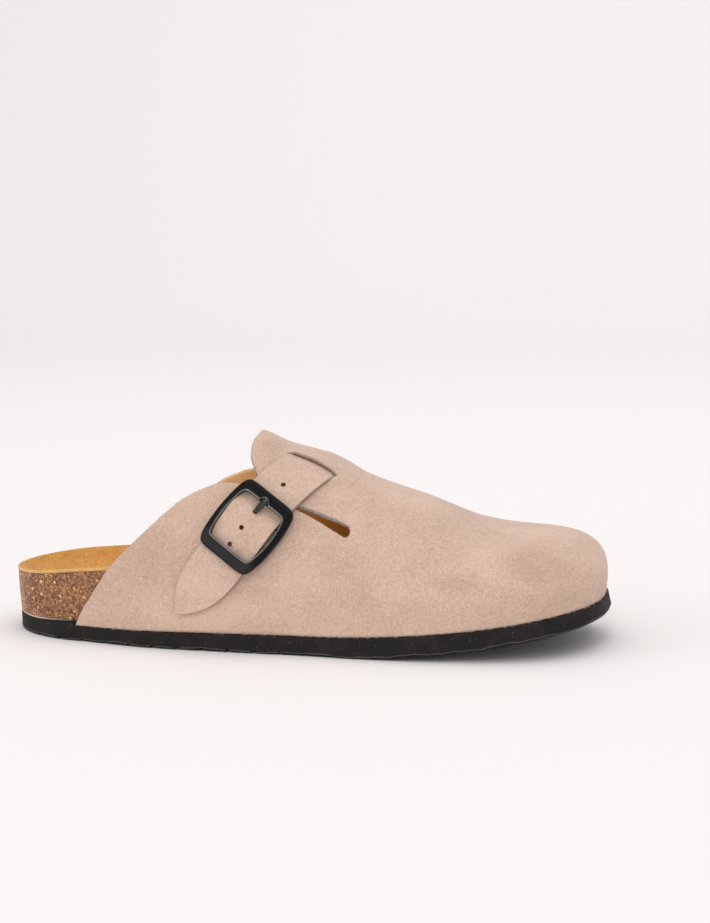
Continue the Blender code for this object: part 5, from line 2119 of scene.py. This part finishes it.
@dataclass
class Buckle:
    """Lacquered buckle: a frame with broad end bars, its hinge bar and a hooked prong."""

    last: Last
    strap: Strap
    lift: float = 2.2
    shift: float = 1.3
    advance: float = 1.0
    half_length: float = 18.4
    half_width: float = 15.9
    frame_bow: float = 2.0
    window_length: float = 12.6
    window_width: float = 12.5
    window_bow: float = 1.2
    frame_power: float = 9.0
    window_power: float = 11.0
    thick: float = 2.6
    dip: float = 0.9
    dip_ends: Pair = (8.0, 11.5)
    bar_place: float = 7.2
    bar_height: float = -0.2
    bar_radius: float = 0.6
    prong_radius: float = 0.6
    prong_half: float = 1.15
    prong_leaf: float = 0.35
    prong_clear: float = 0.2
    prong_lean: Pair = (-1.25, -0.2)
    notch_place: float = -0.6
    notch_half: float = 2.4
    notch_floor: Pair = (0.9, 1.9)
    notch_depth: float = 2.2
    side_slope: float = 0.75
    end_slope: float = -0.3
    mitre: float = 0.06
    reach: float = 13.0
    loop_points: int = 352
    section: tuple[Triple, ...] = (
        (0.0, 0.35, 0.0),
        (0.0, 0.0, 0.4),
        (0.0, 0.0, 1.5),
        (0.0, 0.45, 2.05),
        (0.5, 0.0, 2.2),
        (1.0, -1.15, 2.25),
        (1.0, -0.95, 2.65),
        (1.0, -0.6, 2.85),
        (1.0, -0.2, 2.6),
        (1.0, 0.0, 2.1),
        (1.0, 0.0, 0.5),
        (1.0, -0.2, 0.0),
    )

    def __post_init__(self) -> None:
        """Find the buckle's middle and its directions across, along and out of the strap."""
        girth = np.array([self.strap.buckle_girth])
        station = self.strap.path.read("place", girth)
        self.out = self.last.normal(station, girth)[0]
        along = self.strap.middle(self.reach) - self.strap.middle(-self.reach)
        self.along = unit(along - self.out * np.dot(self.out, along))
        self.across = np.cross(self.along, self.out)
        base = self.last.point(station, girth)[0]
        self.centre = base + self.out * self.lift + self.across * self.shift + self.along * self.advance

    def place(self, local: Array) -> Array:
        """Points from the buckle's own frame, in metres."""
        axes = np.stack([self.across, self.along, self.out])
        return self.last.world(self.centre + local @ axes)

    def turns(self) -> Array:
        """Angles of the points of a loop, evenly round it."""
        return np.linspace(0, 2 * np.pi, self.loop_points, endpoint=False) + np.pi / self.loop_points

    def loop(self, half_x: float, half_y: float, power: float, bow: float) -> Array:
        """Rounded rectangle with bowed sides.

        |x / a| and |y / b| to a power add up to 1, where a falls by the bow toward both ends.

        Args:
            half_x: Half width in the middle.
            half_y: Half length.
            power: Power of the shape: the higher, the tighter its corners.
            bow: Amount by which the half width is less at the ends.

        Returns:
            The loop's points.
        """
        c, s = np.cos(self.turns()), np.sin(self.turns())
        size = (np.abs(c) ** power + np.abs(s) ** power) ** (-1 / power)
        return np.stack([(half_x - bow * (s * size) ** 2) * c * size, half_y * s * size], -1)

    def build_frame(self) -> None:
        """Build and dress the frame: a section carried round between the outer and the window's loop.

        The side bars slope outward and the end bars inward, and a notch in the upper end bar takes
        the prong's end.
        """
        outer = self.loop(self.half_width, self.half_length, self.frame_power, self.frame_bow)
        inner = self.loop(self.window_width, self.window_length, self.window_power, self.window_bow)
        turn = self.turns()
        side = ramp(np.abs(np.cos(turn)) - np.abs(np.sin(turn)), -self.mitre, self.mitre)[:, None]
        near = np.clip(1 - ((inner[:, 0] - self.notch_place) / self.notch_half) ** 2, 0, 1)
        notch = self.notch_depth * near**0.7 * (inner[:, 1] > 0) * (1 - side[:, 0])
        outer, inner = outer[:, None, :], inner[:, None, :]
        section = soften(soften(np.array(self.section), 0.12), 0.25)
        share, off, height = section[None, :, :1], section[None, :, 1:2], section[None, :, 2]
        loops = outer * (1 - share) + inner * share + unit(inner - outer) * off
        loops[..., 1] += notch[:, None] * share[..., 0] ** 2 * ramp(height, *self.notch_floor)
        low = 1 - ramp(height, 0.5, 1.2)
        dip = self.dip * (1 - ramp(np.abs(loops[..., 1]), *self.dip_ends)) * low
        slope = self.end_slope + (self.side_slope - self.end_slope) * side
        fall = slope * (1 - ramp(share[..., 0], 0.0, 0.95)) * ramp(height, 1.0, 2.0)
        rings = np.concatenate([loops, (height - dip - fall)[..., None]], -1)
        rings = np.concatenate([rings, rings[:1]])
        between = 0.5 * (section + np.roll(section, -1, axis=0))
        # The bead's crest takes the lacquer with the painted highlight
        bands = ((between[:, 0] > 0.9) & (between[:, 2] > 2.58)).astype(int)
        # The outer wall takes the lacquer with painted light
        bands[(between[:, 0] < 0.01) & (between[:, 2] > 0.2) & (between[:, 2] < 1.9)] = 2
        piece = loft("buckle_frame_ring", self.place(rings), bands=bands)
        lacquers = [FRAME_LACQUER.material(), BEAD_HIGHLIGHT_LACQUER.material(), LIT_WALL_LACQUER.material()]
        settle(piece, [Node.FRAME], lacquers)

    def build_bar(self) -> None:
        """Build and dress the hinge bar: a round rod across the window."""
        half = self.window_width + 0.7
        x = half * np.array([-1.0, -0.5, 0.0, 0.5, 1.0])[:, None]
        turn = np.linspace(0, 2 * np.pi, 24, endpoint=False)[None, :]
        y = self.bar_place + self.bar_radius * np.cos(turn)
        z = self.bar_height + self.bar_radius * np.sin(turn)
        rings = np.stack(np.broadcast_arrays(x, y, z), -1)
        piece = loft("buckle_hinge_bar", self.place(rings), caps=True)
        settle(piece, [Node.FRAME], [FRAME_LACQUER.material()])

    def prong_path(self) -> Array:
        """Middle line of the prong: hook round the bar, rise through the hole, tip on the end bar.

        Returns:
            Places along and out of the strap.
        """
        hook = self.bar_radius + self.prong_clear + self.prong_radius
        turn = np.radians(np.linspace(370, 150, 10))
        arc = np.stack([self.bar_place + hook * np.cos(turn), self.bar_height + hook * np.sin(turn)], -1)
        top = self.thick + self.last.gap + self.prong_radius
        rise = np.array([
            [self.bar_place - 0.45, 1.75],
            [self.bar_place + 0.25, 2.95],
            [self.bar_place + 1.2, 3.6],
            [self.bar_place + 2.8, top + 0.15],
            [self.window_length + 0.6, top + 0.1],
            [self.window_length + 2.9, top],
        ])
        path = np.concatenate([arc, rise])
        for _ in range(2):
            cut = np.stack([0.75 * path[:-1] + 0.25 * path[1:], 0.25 * path[:-1] + 0.75 * path[1:]], 1)
            path = np.concatenate([path[:1], cut.reshape(-1, 2), path[-1:]])
        return path

    def build_prong(self) -> None:
        """Build and dress the prong: a flat oval carried along its path, rounded at the tip."""
        path = self.prong_path()
        along = unit(np.gradient(path, axis=0))
        left = np.arange(len(path))[::-1] / 5.0
        size = np.sqrt(np.clip(1 - np.clip(1 - left, 0, 1) ** 2, 0.03, 1))[:, None]
        turn = np.linspace(0, 2 * np.pi, 20, endpoint=False)[None, :]
        leant = ramp(np.linspace(0, 1, len(path)), 0.55, 0.95)[:, None]
        lean = self.prong_lean[0] + (self.prong_lean[1] - self.prong_lean[0]) * leant
        past = path[:, :1] - self.bar_place
        half = self.prong_half + self.prong_leaf * ramp(past, 0.4, 3.0)
        wide = half * np.cos(turn) * size + lean
        deep = self.prong_radius * np.sin(turn) * size
        y, z = path[:, :1] - along[:, 1:] * deep, path[:, 1:] + along[:, :1] * deep
        rings = np.stack([wide, y, z], -1)
        piece = loft("buckle_prong_hook", self.place(rings), caps=True)
        settle(piece, [Node.PRONG], [PRONG_LACQUER.material()])

    def build(self) -> None:
        """Build and dress frame, hinge bar and prong."""
        self.build_frame()
        self.build_bar()
        self.build_prong()


# Stage


@dataclass(frozen=True)
class Lamp:
    """Soft square light."""

    name: str
    place: Triple
    aim: Triple
    size: float
    power: float
    colour: Colour = (1.0, 1.0, 1.0)

    def build(self) -> None:
        """Hang the light and turn it toward its aim."""
        light = bpy.data.lights.new(self.name, "AREA")
        light.shape = "SQUARE"
        light.size = self.size
        light.energy = self.power
        light.color = self.colour
        made = bpy.data.objects.new(self.name, light)
        bpy.context.scene.collection.objects.link(made)
        back = unit(np.array(self.place) - np.array(self.aim))
        right = unit(np.cross(np.array([0.0, 1.0, 0.001]), back))
        made.matrix_world = camera_matrix(right, np.cross(back, right), back, np.array(self.place))


def camera_matrix(right: Array, up: Array, back: Array, place: Array) -> Matrix:
    """World matrix with these three directions as its axes."""
    rows = np.concatenate([np.stack([right, up, back, place], 1), [[0, 0, 0, 1]]])
    return Matrix(rows.tolist())


@dataclass
class Studio:
    """Pale sweep, soft lights and an even surround."""

    half_width: float = 4.0
    front: float = -4.0
    bend: float = 1.4
    radius: float = 0.8
    height: float = 2.4
    paper: Paper = Paper("sweep_paper", (0.90, 0.875, 0.872))
    surround: Colour = (1.0, 0.985, 0.98)
    surround_power: float = 0.72
    lamps: tuple[Lamp, ...] = (
        Lamp("key", (0.3, -1.6, 1.0), (-0.03, 0.0, 0.0), 1.3, 2.4),
        Lamp("glint", (0.15, -1.25, 1.2), (-0.03, 0.0, 0.03), 0.28, 2.3),
        Lamp("top", (0.45, -0.1, 1.9), (0.0, 0.0, 0.0), 1.8, 8.0),
        Lamp("side", (-1.5, -0.9, 0.6), (-0.1, 0.0, 0.03), 1.2, 5.2),
        Lamp("back", (0.0, 0.5, 2.0), (0.0, 2.2, 1.1), 1.6, 8.2),
    )

    def build(self) -> None:
        """Lay the sweep, hang the lights and set the surround."""
        turn = np.linspace(0, np.pi / 2, 24)
        back = self.bend + self.radius
        y = np.concatenate([[self.front], self.bend + self.radius * np.sin(turn), [back]])
        z = np.concatenate([[0.0], self.radius * (1 - np.cos(turn)), [self.height]])
        x = np.array([-self.half_width, self.half_width])
        points = np.stack(np.broadcast_arrays(x[None, :], y[:, None], z[:, None]), -1).reshape(-1, 3)
        sweep = mesh_object("sweep", points, grid_quads(len(y), 2).tolist())
        sweep.data.materials.append(self.paper.material())
        sweep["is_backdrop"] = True
        for lamp in self.lamps:
            lamp.build()
        world = bpy.data.worlds.new("surround")
        world.use_nodes = True
        ground = world.node_tree.nodes["Background"]
        ground.inputs["Color"].default_value = (*self.surround, 1.0)
        ground.inputs["Strength"].default_value = self.surround_power
        bpy.context.scene.world = world
        bpy.context.scene.view_settings.view_transform = "Standard"


@dataclass
class Eye:
    """Camera at the photograph's angle: round the clog's middle, then turned a little aside."""

    last: Last
    aim: Triple = (139.0, 0.0, 40.0)
    azimuth: float = 13.596
    elevation: float = 11.225
    distance: float = 900.0
    yaw: float = -1.533
    pitch: float = -2.527
    roll: float = -0.795
    focal_pixels: float = 1936.57
    frame_pixels: float = 923.0
    sensor: float = 36.0

    @staticmethod
    def back(azimuth: float, elevation: float) -> Array:
        """Direction from the clog to a camera at these angles in degrees."""
        a, e = np.radians(azimuth), np.radians(elevation)
        return np.array([np.sin(a) * np.cos(e), -np.cos(a) * np.cos(e), np.sin(e)])

    def build(self) -> None:
        """Make the camera and set it as the scene's."""
        place = np.array(self.aim) + self.back(self.azimuth, self.elevation) * self.distance
        back = self.back(self.azimuth + self.yaw, self.elevation + self.pitch)
        right = unit(np.cross(-back, np.array([0.0, 0.0, 1.0])))
        up = np.cross(right, -back)
        r = np.radians(self.roll)
        across, over = right * np.cos(r) + up * np.sin(r), up * np.cos(r) - right * np.sin(r)
        lens = bpy.data.cameras.new("eye")
        lens.sensor_width = self.sensor
        lens.lens = self.sensor * self.focal_pixels / self.frame_pixels
        lens.clip_start, lens.clip_end = 0.01, 50.0
        made = bpy.data.objects.new("eye", lens)
        bpy.context.scene.collection.objects.link(made)
        made.matrix_world = camera_matrix(across, over, back, self.last.world(place))
        bpy.context.scene.camera = made


def write_sizes() -> None:
    """Gather the solids' box and the dressed clog's box as plain lists."""
    boxes = {"cad": CAD_BOX, "visual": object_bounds()}
    boxes = {name: [list(corner) for corner in box] for name, box in boxes.items()}


def main() -> None:
    """Build the camera, every sub-assembly and the studio."""
    logging.basicConfig(level=logging.INFO, format="%(name)s %(message)s")
    last = Last()
    Eye(last).build()
    sole = Outsole(last)
    upper = Upper(last, sole)
    strap = Strap(last, upper)
    for assembly in (sole, Footbed(last, sole), upper, strap, Buckle(last, strap)):
        assembly.build()
    Studio().build()
    write_sizes()


if __name__ == "__main__":
    main()
